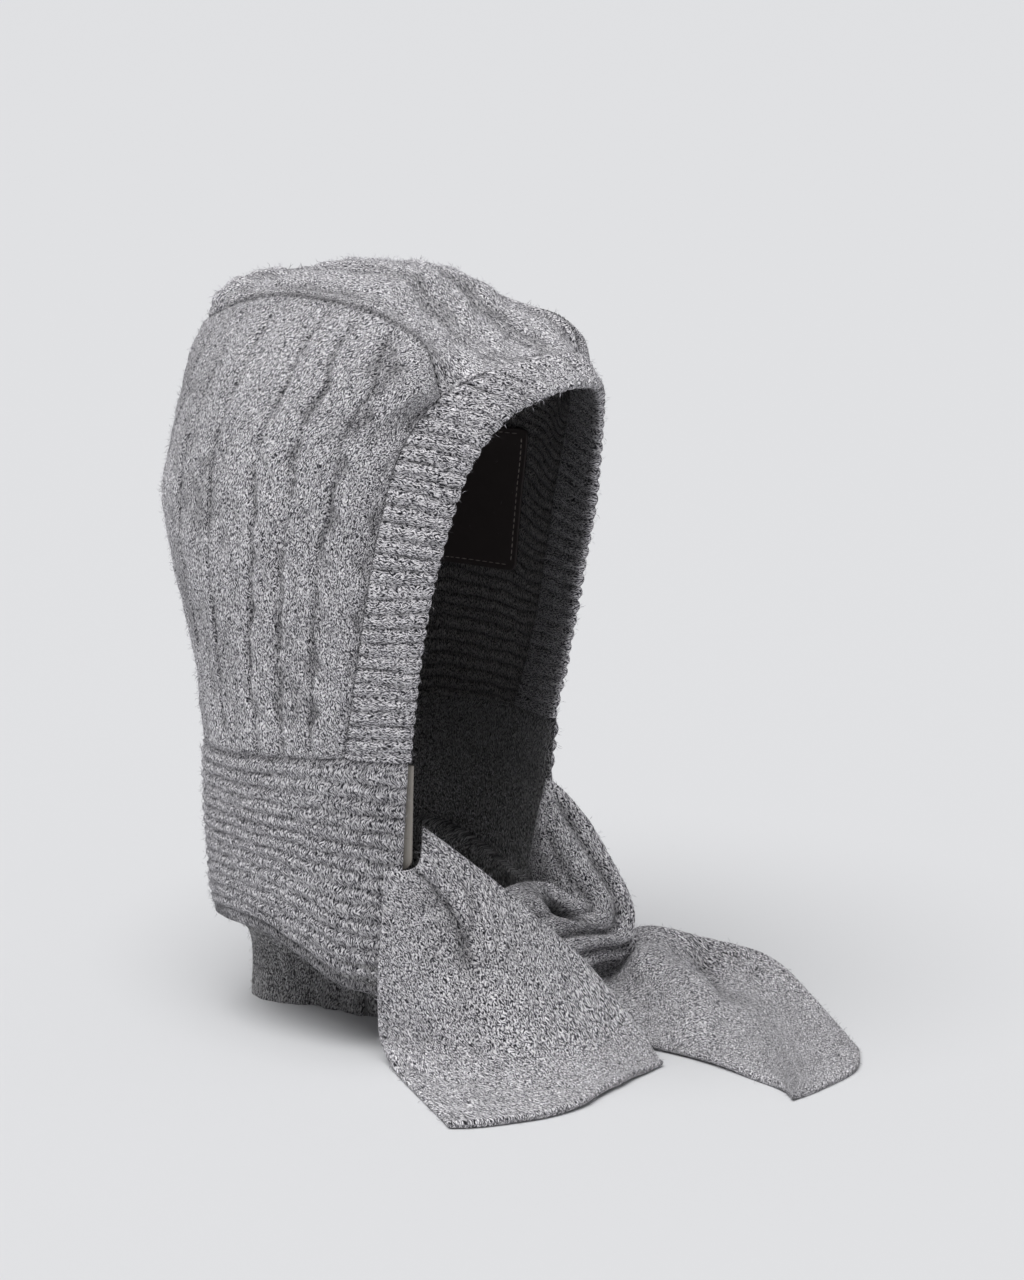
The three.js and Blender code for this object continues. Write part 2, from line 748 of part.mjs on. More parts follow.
for (const side of [-1, 1]) {
  const order = side < 0 ? bandShares : bandShares.slice(0, -1).reverse();
  for (const share of order) {
    const step = bandShares.indexOf(share);
    const rib = step % 2 === 0 ? -0.5 : 0.5;
    bandRows.push(bandSection.map(({ along, depth }) => {
      const point = bandPoint(share, along, depth, rib);
      const low = step === 0 ? seamGap / 2 : 0;
      return mirrored([point[0], point[1], point[2] + low], side);
    }));
  }
}
addPiece('face_band', sweptBody(bandRows, false), woolMaterial(1.05));

// Collar, from the front edge round to the back, down from the neck seam to the fold and a
// short way in
function neckSeamPoint(around) {
  if (around < collarFront) {
    return mixPoints(edgePoints[0], seamPoints[0], around / collarFront);
  }
  return sidePlain((around - collarFront) / (1 - collarFront), 0);
}

function collarRing(around, column) {
  return [
    readTable(collarPlan, 'around', around, `${column}Out`) * collarWidth / 2,
    readTable(collarPlan, 'around', around, `${column}Back`) * collarDepth / 2,
  ];
}

// down runs 0 at the seam, 1 at the fold
function collarPlain(around, down) {
  const seam = neckSeamPoint(around);
  const waist = collarRing(around, 'waist');
  const fold = collarRing(around, 'fold');
  const foldHeight = readTable(collarPlan, 'around', around, 'foldUp') * neckSeamHeight;
  const keepSeam = (1 - down) ** 2;
  const keepFold = down ** 2;
  const keepWaist = 2 * down * (1 - down);
  return [
    seam[0] * keepSeam + waist[0] * keepWaist + fold[0] * keepFold,
    seam[1] * keepSeam + waist[1] * keepWaist + fold[1] * keepFold,
    mix(seam[2], foldHeight, down),
  ];
}

function collarDirection(around, down) {
  const point = collarPlain(around, down);
  return unit([point[0] / collarWidth ** 2, point[1] / collarDepth ** 2, 0]);
}

const collarRidges = Math.round(neckSeamHeight * 0.62 / ridgePitch);
const collarAround = [
  ...evenSteps(2, 0, collarFront),
  ...evenSteps(collarColumns, collarFront, 1).slice(1),
];

function collarRow(down, depth, drop) {
  const half = collarAround.map((around) => {
    const point = collarPlain(around, down);
    const placed = moved(point, collarDirection(around, down), depth);
    return [placed[0], placed[1], placed[2] + drop];
  });
  const right = half.map((point) => mirrored(point, -1));
  return [...right, ...half.slice(0, -1).reverse()];
}

const collarOuter = [];
for (let step = 0; step <= collarRidges * 2; step += 1) {
  const down = step / (collarRidges * 2);
  const relief = step === 0 ? 0 : ridgeDepth * (step % 2 === 0 ? -0.5 : 0.5);
  collarOuter.push(collarRow(down, relief, step === 0 ? -seamGap / 2 : 0));
}
collarOuter.push(collarRow(1, -knitWall * 0.5, -knitWall * 0.4));
const collarInner = evenSteps(collarInnerRows).map((down, step) => {
  return collarRow(down, -knitWall, step === 0 ? -seamGap / 2 : 0);
});
addPiece('neck_band', bodyBetween(collarOuter, collarInner), woolMaterial(1));

// Layer under the collar: it starts inside the collar, draws in below the fold and stands on
// the floor as a foot
const footTurns = [
  ...collarAround.map((around) => ({ around, side: -1 })),
  ...collarAround.slice(0, -1).reverse().map((around) => ({ around, side: 1 })),
];
const frontTurns = evenSteps(6).slice(1, -1);

function underTop(down, inset) {
  const back = footTurns.map(({ around, side }) => {
    const point = collarPlain(around, down);
    const depth = -knitWall - layGap - inset;
    return mirrored(moved(point, collarDirection(around, down), depth), side);
  });
  const first = back[0];
  const last = back[back.length - 1];
  const front = frontTurns.map((share) => {
    const point = mixPoints(last, first, share);
    const bow = 4 * share * (1 - share);
    return [point[0], point[1] - underBow * bow, point[2] - 0.12 * neckSeamHeight * bow];
  });
  return [...back, ...front];
}

// The foot's plan at the direction of each column
const footCentre = [footShift.out * footWidth, footShift.back * footDepth];
const footLoop = evenSteps(120).slice(0, -1).map((share) => {
  const loop = [...footPlan, footPlan[0], footPlan[1], footPlan[2]];
  const at = share * footPlan.length;
  const index = Math.floor(at);
  const names = ['out', 'back'];
  const values = names.map((name) => {
    const ring = [footPlan.at(index - 1), loop[index], loop[index + 1], loop[index + 2]];
    return smoothValue(ring.map((row) => row[name]), (1 + at - index) / 3);
  });
  return [values[0] * footWidth / 2, values[1] * footDepth / 2];
});

function footPoint(direction, height, inset) {
  const turn = Math.atan2(direction[1] - footCentre[1], direction[0] - footCentre[0]);
  let best = footLoop[0];
  let nearest = Infinity;
  for (const point of footLoop) {
    const other = Math.atan2(point[1], point[0]);
    const off = Math.abs(Math.atan2(Math.sin(other - turn), Math.cos(other - turn)));
    if (off < nearest) {
      nearest = off;
      best = point;
    }
  }
  const length = Math.hypot(best[0], best[1]) - inset;
  return [
    footCentre[0] + Math.cos(turn) * length,
    footCentre[1] + Math.sin(turn) * length,
    height,
  ];
}

const underUpper = 0.72;
const upperRing = underTop(underUpper, 0);
const lowerRing = underTop(1, 1);
const footSections = upperRing.map((top, k) => {
  const low = lowerRing[k];
  const knee = footPoint(low, footHeight, 0);
  const sole = footPoint(low, 0, 0);
  const toward = unit([footCentre[0] - top[0], footCentre[1] - top[1], 0]);
  const topIn = moved(top, toward, footWall);
  const lowIn = moved(low, toward, footWall);
  const kneeIn = footPoint(low, footHeight + footWall * 0.6, footWall);
  const soleIn = footPoint(low, 0, footWall);
  return [top, low, knee, sole, soleIn, kneeIn, lowIn, topIn];
});
addPiece('neck_turn_under', sweptBody(footSections, true), woolMaterial(0.8));

// Both scarf ends start from the foot of the face edge
const tie = [faceWidth / 2 * 0.9, -collarDepth / 2];

// Near scarf end
function rightScarf(across, down) {
  const columns = [0, 1, 2].map((column) => smoothValue(
    rightScarfRows.map((row) => row[column]),
    down,
  ));
  const point = smoothValue(columns, across);
  const bow = rightHemBow * rise(down, 0.75, 1) * Math.sin(Math.PI * Math.min(1, across * 1.6));
  return [
    -tie[0] + point[0] * rightSpread - bow * rightSpread * 0.35,
    tie[1] - (point[1] + bow) * rightReach,
    Math.max(scarfWall / 2, point[2] * rightTieHeight),
  ];
}
const rightGrid = pointGrid(rightScarf, evenSteps(scarfColumns), evenSteps(rightRows));
const rightNormals = gridNormals(rightGrid);
const creased = rightGrid.map((row, r) => row.map((point, c) => {
  const off = (c / scarfColumns - 0.45) / 0.13;
  const fade = (rise(r / rightRows, 0.12, 0.3) * 2 - 1) * (1 - rise(r / rightRows, 0.36, 0.55));
  const dent = scarfCreaseDepth * Math.exp(-off * off) * fade;
  return moved(point, rightNormals[r][c], dent);
}));
addPiece('scarf_end_right', bodyBetween(...sheetBody(creased, scarfWall)), woolMaterial(1.05));

// Far scarf end, with lengthwise pleats on its first stretch
function leftScarf(across, down) {
  const columns = [0, 1, 2, 3].map((column) => smoothValue(
    leftScarfRows.map((row) => row[column]),
    down,
  ));
  const point = smoothValue(columns, across);
  return [
    tie[0] + point[0] * leftSpread,
    tie[1] - point[1] * leftReach,
    Math.max(scarfWall / 2, point[2] * leftTieHeight),
  ];
}
const leftGrid = pointGrid(leftScarf, evenSteps(scarfColumns), evenSteps(leftRows));
const leftNormals = gridNormals(leftGrid);
const pleated = leftGrid.map((row, r) => row.map((point, c) => {
  const across = c / scarfColumns;
  const down = r / leftRows;
  const zone = rise(across, 0.3, 0.4) * (1 - rise(across, 0.9, 1)) * (1 - rise(down, 0.28, 0.36));
  const wave = Math.cos((across - 0.42) * 2 * Math.PI * 4) * zone * rise(down, 0, 0.06);
  const placed = moved(point, leftNormals[r][c], wave * pleatDepth * 0.4);
  return [placed[0], placed[1], Math.max(scarfWall / 2, placed[2])];
}));
addPiece('scarf_end_left', bodyBetween(...sheetBody(pleated, scarfWall)), woolMaterial(1));

// Patch inside the far wall, between the band seam and the back
function patchPoint(across, up, depth) {
  const height = patchCentreHeight + (up - 0.5) * patchHeight;
  const halfGirth = (hoodWidth + hoodDepth) * 0.45;
  const along = patchSetBack + (across - 0.5) * patchWidth + (up - 0.5) * patchLean;
  const around = along / halfGirth;
  const low = neckSeamLevel(around);
  const share = (height - low) / (creasePoint(around)[2] - low);
  const point = sidePlain(around, share);
  return moved(point, wallDirection(point), -knitWall - patchSeat - depth);
}
const patchShares = evenSteps(patchSteps);
addPiece(
  'inner_patch',
  bodyBetween(
    pointGrid((u, v) => patchPoint(u, v, 0), patchShares, patchShares),
    pointGrid((u, v) => patchPoint(u, v, patchWall), patchShares, patchShares),
  ),
  new THREE.MeshStandardMaterial({ color: 0x2a2220, roughness: 0.6, metalness: 0 }),
);

// Tab along the inside of the collar's near front edge, with a rounded lower end
const tabTop = edgePoints[0][2] - tabDrop;
const tabSections = evenSteps(tabSteps).map((share) => {
  const height = tabTop - tabLength * (1 - share);
  const foldHeight = collarPlan[0].foldUp * neckSeamHeight;
  const down = (edgePoints[0][2] - height) / (edgePoints[0][2] - foldHeight);
  const front = collarPlain(0, down);
  const behind = collarPlain(collarFront, down);
  const forward = unit([front[0] - behind[0], front[1] - behind[1], 0]);
  const inward = [forward[1], -forward[0], 0];
  const narrow = Math.sqrt(1 - (1 - Math.min(1, share * 5)) ** 2);
  const half = tabWidth / 2 * Math.max(0.3, narrow);
  const middle = moved(front, forward, tabShow * (1 - 0.8 * share) - tabWidth / 2);
  const corner = (along, deep) => {
    const point = moved(moved(middle, forward, along * half), inward, knitWall + layGap + deep);
    return mirrored([point[0], point[1], height], -1);
  };
  return [corner(-1, 0), corner(1, 0), corner(1, tabWall), corner(-1, tabWall)];
});
addPiece(
  'edge_tab',
  sweptBody(tabSections, false),
  new THREE.MeshStandardMaterial({ color: 0x9a948c, roughness: 0.8, metalness: 0 }),
);

// The whole stands with the middle of its floor plan at the origin
const bounds = new THREE.Box3().setFromObject(hood);
const middle = bounds.getCenter(new THREE.Vector3());
hood.position.set(-middle.x, -middle.y, -bounds.min.z);

export default hood;
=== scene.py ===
import math

import bpy
import numpy as np
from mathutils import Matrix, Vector


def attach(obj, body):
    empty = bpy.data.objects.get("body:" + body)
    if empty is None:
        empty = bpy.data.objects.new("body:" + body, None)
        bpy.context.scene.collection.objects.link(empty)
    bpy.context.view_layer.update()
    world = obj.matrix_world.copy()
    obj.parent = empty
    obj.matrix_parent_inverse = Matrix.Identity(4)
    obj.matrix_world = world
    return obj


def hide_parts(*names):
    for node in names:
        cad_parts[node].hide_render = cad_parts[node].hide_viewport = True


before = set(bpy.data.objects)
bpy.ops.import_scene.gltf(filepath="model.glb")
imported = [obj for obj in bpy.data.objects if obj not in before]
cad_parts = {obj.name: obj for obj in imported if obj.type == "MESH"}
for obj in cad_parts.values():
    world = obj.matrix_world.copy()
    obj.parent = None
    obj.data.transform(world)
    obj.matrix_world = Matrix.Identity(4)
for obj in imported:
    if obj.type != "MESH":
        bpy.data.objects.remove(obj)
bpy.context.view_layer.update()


# Side panels: the two knitted halves of the hood, in grey marl wool. Vertical grooves and two
# columns of twisted cable run up each of them. They are sewn to the face band, to the top panel
# and to each other at the centre back, and the wool is brushed until its stitches nearly close.

# The hood's sizes are in millimetres, with the middle of its neck at x = 0 and y = 0
HOOD_HEIGHT = 404
HOOD_WIDTH = 186
HOOD_DEPTH = 255
NECK_SEAM_HEIGHT = 147
NECK_SEAM_RISE = 12
KNIT_WALL = 4.0
FACE_HEIGHT = 357
FACE_WIDTH = 133
BAND_WIDTH = 33
CREASE_DEPTH = 2.2
# Where the middle of the neck lies in the shared frame
NECK_PLACE = (-12.8406, 85.1549, 0.0)

# Face edge from the neck seam up to the forehead: up, out and forward are shares of the face's
# height, half of its width and the hood's depth, and the rest is the way to the band's seam
FACE_EDGE = np.array([
    # up, out, forward, seam out, seam back, seam up
    [0.445, 0.945, 0.342, 0.365, 1, 0.0],
    [0.56, 0.992, 0.373, 0.365, 0.946, 0.0],
    [0.672, 1, 0.404, 0.365, 0.946, 0.0],
    [0.773, 0.962, 0.439, 0.405, 0.973, 0.108],
    [0.88, 0.842, 0.478, 0.514, 0.946, 0.189],
    [0.947, 0.62, 0.523, 0.541, 0.865, 0.32],
    [0.976, 0.32, 0.562, 0.405, 0.7, 0.4],
    [0.984, 0, 0.576, 0, 0.82, 0.4],
])
CORNER_ROW = 5

# Level sections of the head
HEAD_SECTIONS = np.array([
    # up, out, back
    [0.359, 0.903, 0.314],
    [0.413, 0.912, 0.323],
    [0.491, 0.93, 0.34],
    [0.612, 0.982, 0.403],
    [0.69, 1, 0.424],
    [0.744, 0.989, 0.416],
    [0.811, 0.946, 0.392],
    [0.877, 0.86, 0.353],
    [0.956, 0.645, 0.29],
])

# Crease between the side and top panels, from the band to the centre back
CREASE_LINE = np.array([
    # along, out, forward, up
    [0, 0.64, 0.41, 0.87],
    [0.08, 0.642, 0.4, 0.903],
    [0.16, 0.638, 0.368, 0.932],
    [0.28, 0.622, 0.275, 0.956],
    [0.42, 0.591, 0.153, 0.966],
    [0.58, 0.559, 0, 0.968],
    [0.71, 0.495, -0.133, 0.953],
    [0.85, 0.409, -0.265, 0.92],
    [0.93, 0.237, -0.3, 0.916],
    [1, 0, -0.309, 0.915],
])
CREASE_CORNER = 0.85


def mix(a, b, share):
    return a + (b - a) * share


def rise(value, start, end):
    """A smooth step from 0 to 1 between two values"""
    share = np.clip((value - start) / (end - start), 0, 1)
    return share * share * (3 - 2 * share)


def unit(vectors):
    return vectors / np.maximum(np.linalg.norm(vectors, axis=-1, keepdims=True), 1e-9)


def curve(values, position):
    """Smooth curve through a list of numbers or points, at shares of its length"""
    values = np.asarray(values, float)
    last = len(values) - 1
    at = np.clip(np.asarray(position, float), 0, 1) * last
    index = np.minimum(last - 1, np.floor(at).astype(int))
    t = at - index
    t = t.reshape(t.shape + (1,) * (values.ndim - 1))
    p0 = values[np.maximum(0, index - 1)]
    p1 = values[index]
    p2 = values[index + 1]
    p3 = values[np.minimum(last, index + 2)]
    bend = (2 * p0 - 5 * p1 + 4 * p2 - p3) * t
    twist = (3 * p1 - p0 - 3 * p2 + p3) * t * t
    return p1 + 0.5 * t * (p2 - p0 + bend + twist)


def read_table(rows, value, column):
    """A table's column read at values of its first column"""
    keys = rows[:, 0]
    last = len(keys) - 1
    index = np.searchsorted(keys[1:last], value, side="left")
    share = np.clip((value - keys[index]) / (keys[index + 1] - keys[index]), 0, 1)
    return curve(rows[:, column], (index + share) / last)


def points(x, y, z):
    return np.stack(np.broadcast_arrays(x, y, z), axis=-1).astype(float)


def wall_direction(at):
    """The way out across the hood's wall"""
    shoulder = HOOD_HEIGHT * 0.69
    return unit(points(
        at[..., 0] / (HOOD_WIDTH / 2) ** 2,
        at[..., 1] / (HOOD_DEPTH * 0.43) ** 2,
        np.maximum(0, at[..., 2] - shoulder) / (HOOD_HEIGHT - shoulder) ** 2,
    ))


def moved(at, direction, distance):
    return at + direction * np.asarray(distance)[..., None]


def uneven(x, y, size, seed):
    """Smooth random waves from -1 to 1, about size millimetres long each way"""
    lattice = np.random.default_rng(seed).uniform(-1, 1, (64, 64))
    gx, gy = np.broadcast_arrays(x / size, y / size)
    ix, iy = np.floor(gx).astype(int), np.floor(gy).astype(int)
    tx, ty = gx - ix, gy - iy
    tx, ty = tx * tx * (3 - 2 * tx), ty * ty * (3 - 2 * ty)
    low = mix(lattice[ix % 64, iy % 64], lattice[(ix + 1) % 64, iy % 64], tx)
    high = mix(lattice[ix % 64, (iy + 1) % 64], lattice[(ix + 1) % 64, (iy + 1) % 64], tx)
    return mix(low, high, ty)


def cable(across, along, half, pitch):
    """Height share of a twisted cable of two strands, at millimetres from its middle line"""
    turn = np.pi * along / pitch
    strands = []
    for side in (1, -1):
        off = (across - side * 0.46 * half * np.sin(turn)) / (0.62 * half)
        over = 0.78 + 0.3 * side * np.cos(turn)
        strands.append(np.sqrt(np.clip(1 - off * off, 0, 1)) * over)
    return np.maximum(strands[0], strands[1])


EDGE_POINTS = points(
    FACE_EDGE[:, 1] * FACE_WIDTH / 2,
    -FACE_EDGE[:, 2] * HOOD_DEPTH,
    FACE_EDGE[:, 0] * FACE_HEIGHT,
)
EDGE_POINTS[0, 2] = NECK_SEAM_HEIGHT + NECK_SEAM_RISE
SEAM_POINTS = EDGE_POINTS + FACE_EDGE[:, 3:6] * BAND_WIDTH
CORNER_SHARE = CORNER_ROW / (len(FACE_EDGE) - 1)
SEAM_SHARES = np.linspace(0, CORNER_SHARE, 300)
SEAM_LINE = curve(SEAM_POINTS, SEAM_SHARES)


def band_seam(share):
    return curve(SEAM_POINTS, share)


def crease_point(along):
    at = points(
        read_table(CREASE_LINE, along, 1) * HOOD_WIDTH / 2,
        -read_table(CREASE_LINE, along, 2) * HOOD_DEPTH,
        read_table(CREASE_LINE, along, 3) * HOOD_HEIGHT,
    )
    return mix(at, SEAM_POINTS[CORNER_ROW], (1 - rise(along, 0, 0.12))[..., None])


def half_width_at(height):
    return read_table(HEAD_SECTIONS, height / HOOD_HEIGHT, 1) * HOOD_WIDTH / 2


def section_point(height, around):
    """Point of a level section, from the band seam (0) round to the centre back (1)"""
    seam_x = np.interp(height, SEAM_LINE[:, 2], SEAM_LINE[:, 0])
    seam_y = np.interp(height, SEAM_LINE[:, 2], SEAM_LINE[:, 1])
    seam_width = half_width_at(np.minimum(height, SEAM_POINTS[CORNER_ROW, 2]))
    half_width = half_width_at(height)
    back = read_table(HEAD_SECTIONS, height / HOOD_HEIGHT, 2) * HOOD_DEPTH
    start = np.arcsin(np.minimum(0.97, seam_x / seam_width))
    front = -seam_y / np.cos(start) * half_width / seam_width
    turn = mix(start, np.pi, around)
    depth = np.where(turn < np.pi / 2, front, back)
    return points(half_width * np.sin(turn), -depth * np.cos(turn), height)


def settled(at):
    """The cloth sinks a little at the far shoulder of the crown"""
    at = at.copy()
    over = np.exp(-((at[..., 0] - 62) / 42) ** 2 - ((at[..., 1] + 62) / 27) ** 2)
    at[..., 2] -= 8 * over * rise(at[..., 2], 290, 350) * (at[..., 0] > 0)
    return at


def neck_seam_level(around):
    return NECK_SEAM_HEIGHT + NECK_SEAM_RISE * (1 - around) ** 2


def bent_section(around, up):
    crease = crease_point(around)
    height = mix(neck_seam_level(around), crease[..., 2], up)
    lift = (crease - section_point(crease[..., 2], around)) * (up ** 4)[..., None]
    return section_point(height, around) + lift


def side_plain(around, up):
    """Plain surface of a side panel: around from the band to the back, up to the crease"""
    front = bent_section(np.zeros_like(around), up)
    blend_in = ((1 - around) ** 6)[..., None]
    return bent_section(around, up) + (band_seam(up * CORNER_SHARE) - front) * blend_in


def grid(columns, rows):
    """Two arrays of the columns' and rows' values at every place of a grid"""
    return np.meshgrid(columns, rows)


def border_strip(first, second, step, flip):
    """Strip of triangles between the borders of an outer and a coarser inner grid"""
    made = []
    for k in range(len(second) - 1):
        part = first[k * step:(k + 1) * step + 1]
        made += [(part[i + 1], part[i], second[k]) for i in range(step)]
        made.append((part[-1], second[k], second[k + 1]))
    return [tuple(reversed(t)) for t in made] if flip else made


def body_between(outer, inner, step=1):
    """Points and faces of a closed sheet whose inner grid has every step-th row and column"""
    rows, cols = outer.shape[:2]
    front = np.arange(rows * cols).reshape(rows, cols)
    rear = rows * cols + np.arange(inner.shape[0] * inner.shape[1]).reshape(inner.shape[:2])
    faces = []
    for numbers, flip in ((front, False), (rear, True)):
        quads = np.stack([
            numbers[:-1, :-1], numbers[:-1, 1:], numbers[1:, 1:], numbers[1:, :-1],
        ], axis=-1).reshape(-1, 4)
        faces += (quads[:, ::-1] if flip else quads).tolist()
    faces += border_strip(front[0], rear[0], step, False)
    faces += border_strip(front[-1], rear[-1], step, True)
    faces += border_strip(front[:, 0], rear[:, 0], step, True)
    faces += border_strip(front[:, -1], rear[:, -1], step, False)
    return np.concatenate([outer.reshape(-1, 3), inner.reshape(-1, 3)]), faces


def both_faces(outer_place, step=1):
    """The places of a closed sheet's two grids, one after the other"""
    inner_place = outer_place[::step, ::step]
    return np.concatenate([outer_place.reshape(-1, 2), inner_place.reshape(-1, 2)])


def in_scene(name, data):
    """New object in the scene"""
    piece = bpy.data.objects.new(name, data)
    bpy.context.scene.collection.objects.link(piece)
    return piece


def add_mesh(name, at, faces, place, material, tone=None, inner=None):
    """Mesh in the shared frame from points in the hood's millimetres; place is the knit's own width
    and length at each point, kept as a UV map in metres, and tone is how light it is, as painted
    light and shade.
    inner is the number of the first point of the inner face and that face's material"""
    at = np.asarray(at, float)
    # The volume's sign shows which way the faces look, and a share of them is enough for that
    volume = 0.0
    for face in faces[:: max(1, len(faces) // 20000)]:
        for k in range(1, len(face) - 1):
            volume += at[face[0]] @ np.cross(at[face[k]], at[face[k + 1]])
    if volume < 0:
        faces = [tuple(reversed(face)) for face in faces]
    corners = [f for face in faces for f in face]
    mesh = bpy.data.meshes.new(name)
    mesh.from_pydata((at + np.array(NECK_PLACE)) * 0.001, [], faces)
    knit = mesh.uv_layers.new(name="knit")
    knit.data.foreach_set("uv", (np.asarray(place)[corners] * 0.001).ravel())
    if tone is not None:
        shades = mesh.attributes.new("tone", "FLOAT", "POINT")
        shades.data.foreach_set("value", np.asarray(tone, float).ravel())
    mesh.materials.append(material)
    if inner is not None:
        mesh.materials.append(inner[1])
        inside = [int(min(face) >= inner[0]) for face in faces]
        mesh.polygons.foreach_set("material_index", inside)
    mesh.polygons.foreach_set("use_smooth", [True] * len(faces))
    mesh.update()
    return in_scene(name, mesh)


def painted_groove_shade(relief):
    """Tone of the knit: its grooves and hollows are darkened as painted shade, and what stands out
    is lighter
    """
    return 1.05 - 0.6 * rise(-relief, -0.4, 2.3)


def place_on(outer):
    """Width and length along the sheet at each place of a grid, in millimetres"""
    across = np.linalg.norm(np.diff(outer, axis=1), axis=-1)
    along = np.linalg.norm(np.diff(outer, axis=0), axis=-1)
    u = np.concatenate([np.zeros((outer.shape[0], 1)), np.cumsum(across, axis=1)], axis=1)
    v = np.concatenate([np.zeros((1, outer.shape[1])), np.cumsum(along, axis=0)], axis=0)
    middle = outer.shape[1] // 2
    u = u - u[:, middle:middle + 1]
    v = v[:, middle:middle + 1] * np.ones_like(u)
    return np.stack([u, v], axis=-1)


def link(tree, value, socket):
    """Sets a socket to a number or joins it to an output"""
    if isinstance(value, bpy.types.NodeSocket):
        tree.links.new(value, socket)
    else:
        socket.default_value = value


def calc(tree, operation, a, b=None, c=None):
    node = tree.nodes.new("ShaderNodeMath")
    node.operation = operation
    for index, value in enumerate((a, b, c)):
        if value is not None:
            link(tree, value, node.inputs[index])
    return node.outputs[0]


def join_xyz(tree, x, y, z):
    node = tree.nodes.new("ShaderNodeCombineXYZ")
    for index, value in enumerate((x, y, z)):
        link(tree, value, node.inputs[index])
    return node.outputs[0]


def noise(tree, where, scale, detail=2.0, rough=0.55):
    node = tree.nodes.new("ShaderNodeTexNoise")
    node.noise_dimensions = "3D"
    link(tree, where, node.inputs["Vector"])
    node.inputs["Scale"].default_value = scale
    node.inputs["Detail"].default_value = detail
    node.inputs["Roughness"].default_value = rough
    return node.outputs[0]


def stretched(tree, value, low, high):
    node = tree.nodes.new("ShaderNodeMapRange")
    node.interpolation_type = "SMOOTHSTEP"
    link(tree, value, node.inputs["Value"])
    node.inputs["From Min"].default_value = low
    node.inputs["From Max"].default_value = high
    return node.outputs[0]


def brushed_knit_group():
    """Shared look of brushed marl knit: V-shaped stitches nearly closed by short fibres, in a
    mix of light and dark wool. Place is in millimetres across and along the knit."""
    tree = bpy.data.node_groups.new("brushed marl knit", "ShaderNodeTree")
    face = tree.interface
    face.new_socket("Place", in_out="INPUT", socket_type="NodeSocketVector")
    face.new_socket("Stitch Width", in_out="INPUT", socket_type="NodeSocketFloat")
    face.new_socket("Stitch Height", in_out="INPUT", socket_type="NodeSocketFloat")
    face.new_socket("Marl", in_out="OUTPUT", socket_type="NodeSocketFloat")
    face.new_socket("Height", in_out="OUTPUT", socket_type="NodeSocketFloat")
    given = tree.nodes.new("NodeGroupInput")
    out = tree.nodes.new("NodeGroupOutput")
    place = given.outputs["Place"]

    # The stitches wander a little
    wander = tree.nodes.new("ShaderNodeTexNoise")
    wander.inputs["Scale"].default_value = 0.22
    wander.inputs["Detail"].default_value = 1.0
    tree.links.new(place, wander.inputs["Vector"])
    bent = tree.nodes.new("ShaderNodeVectorMath")
    bent.operation = "MULTIPLY_ADD"
    tree.links.new(wander.outputs["Color"], bent.inputs[0])
    bent.inputs[1].default_value = (3.2, 3.2, 0.0)
    tree.links.new(place, bent.inputs[2])
    parts = tree.nodes.new("ShaderNodeSeparateXYZ")
    tree.links.new(bent.outputs[0], parts.inputs[0])
    x, y, z = parts.outputs[0], parts.outputs[1], parts.outputs[2]

    # Two legs to a stitch, leaning toward each other
    wale = calc(tree, "FRACT", calc(tree, "DIVIDE", x, given.outputs["Stitch Width"]))
    off = calc(tree, "ABSOLUTE", calc(tree, "SUBTRACT", wale, 0.5))
    lean = calc(tree, "MULTIPLY", off, given.outputs["Stitch Width"])
    course = calc(tree, "ADD", y, calc(tree, "MULTIPLY", lean, 1.5))
    turn = calc(tree, "DIVIDE", course, given.outputs["Stitch Height"])
    loop = calc(tree, "SINE", calc(tree, "MULTIPLY", turn, 2 * math.pi))
    leg = calc(tree, "FRACT", calc(tree, "MULTIPLY", wale, 2.0))
    leg = calc(tree, "PINGPONG", calc(tree, "MULTIPLY", leg, 2.0), 1.0)
    stitch = calc(tree, "MULTIPLY", leg, calc(tree, "MULTIPLY_ADD", loop, 0.35, 0.65))

    # Short fibres brushed along the legs
    strokes = join_xyz(tree, x, calc(tree, "MULTIPLY", course, 0.6), z)
    coarse = noise(tree, strokes, 1.12, 2.0, 0.6)
    fine = noise(tree, strokes, 3.0, 2.0, 0.6)
    shifted = tree.nodes.new("ShaderNodeVectorMath")
    shifted.operation = "ADD"
    tree.links.new(strokes, shifted.inputs[0])
    shifted.inputs[1].default_value = (31.0, 17.0, 5.0)
    flecks = noise(tree, shifted.outputs[0], 1.55, 1.0, 0.6)
    cloudy = noise(tree, place, 0.09, 2.0, 0.5)

    height = calc(tree, "MULTIPLY_ADD", coarse, 0.9, calc(tree, "MULTIPLY", stitch, 0.5))
    height = calc(tree, "MULTIPLY_ADD", fine, 0.45, height)
    marl = calc(tree, "MULTIPLY_ADD", coarse, 0.4, calc(tree, "MULTIPLY", flecks, 0.65))
    marl = calc(tree, "MULTIPLY_ADD", fine, 0.22, marl)
    marl = calc(tree, "MULTIPLY_ADD", stitch, 0.09, marl)
    marl = calc(tree, "MULTIPLY_ADD", calc(tree, "SUBTRACT", cloudy, 0.5), 0.03, marl)
    tree.links.new(stretched(tree, marl, 0.58, 0.75), out.inputs["Marl"])
    tree.links.new(height, out.inputs["Height"])
    return tree


BRUSHED_KNIT = brushed_knit_group()


def with_painted_shading(tree, colour):
    """The colour scaled by the mesh's painted shading: painted shade in grooves and inside the hood,
    and painted light on the top panel
    """
    tone = tree.nodes.new("ShaderNodeAttribute")
    tone.attribute_name = "tone"
    scale = tree.nodes.new("ShaderNodeVectorMath")
    scale.operation = "SCALE"
    tree.links.new(colour, scale.inputs[0])
    tree.links.new(tone.outputs["Fac"], scale.inputs["Scale"])
    return scale.outputs[0]


# Width and height of a stitch in millimetres
STITCH = (2.6, 2.1)
# Painted shade on the panels' inner face, which lies in shade inside the hood
INSIDE_PAINTED_SHADE = 0.36


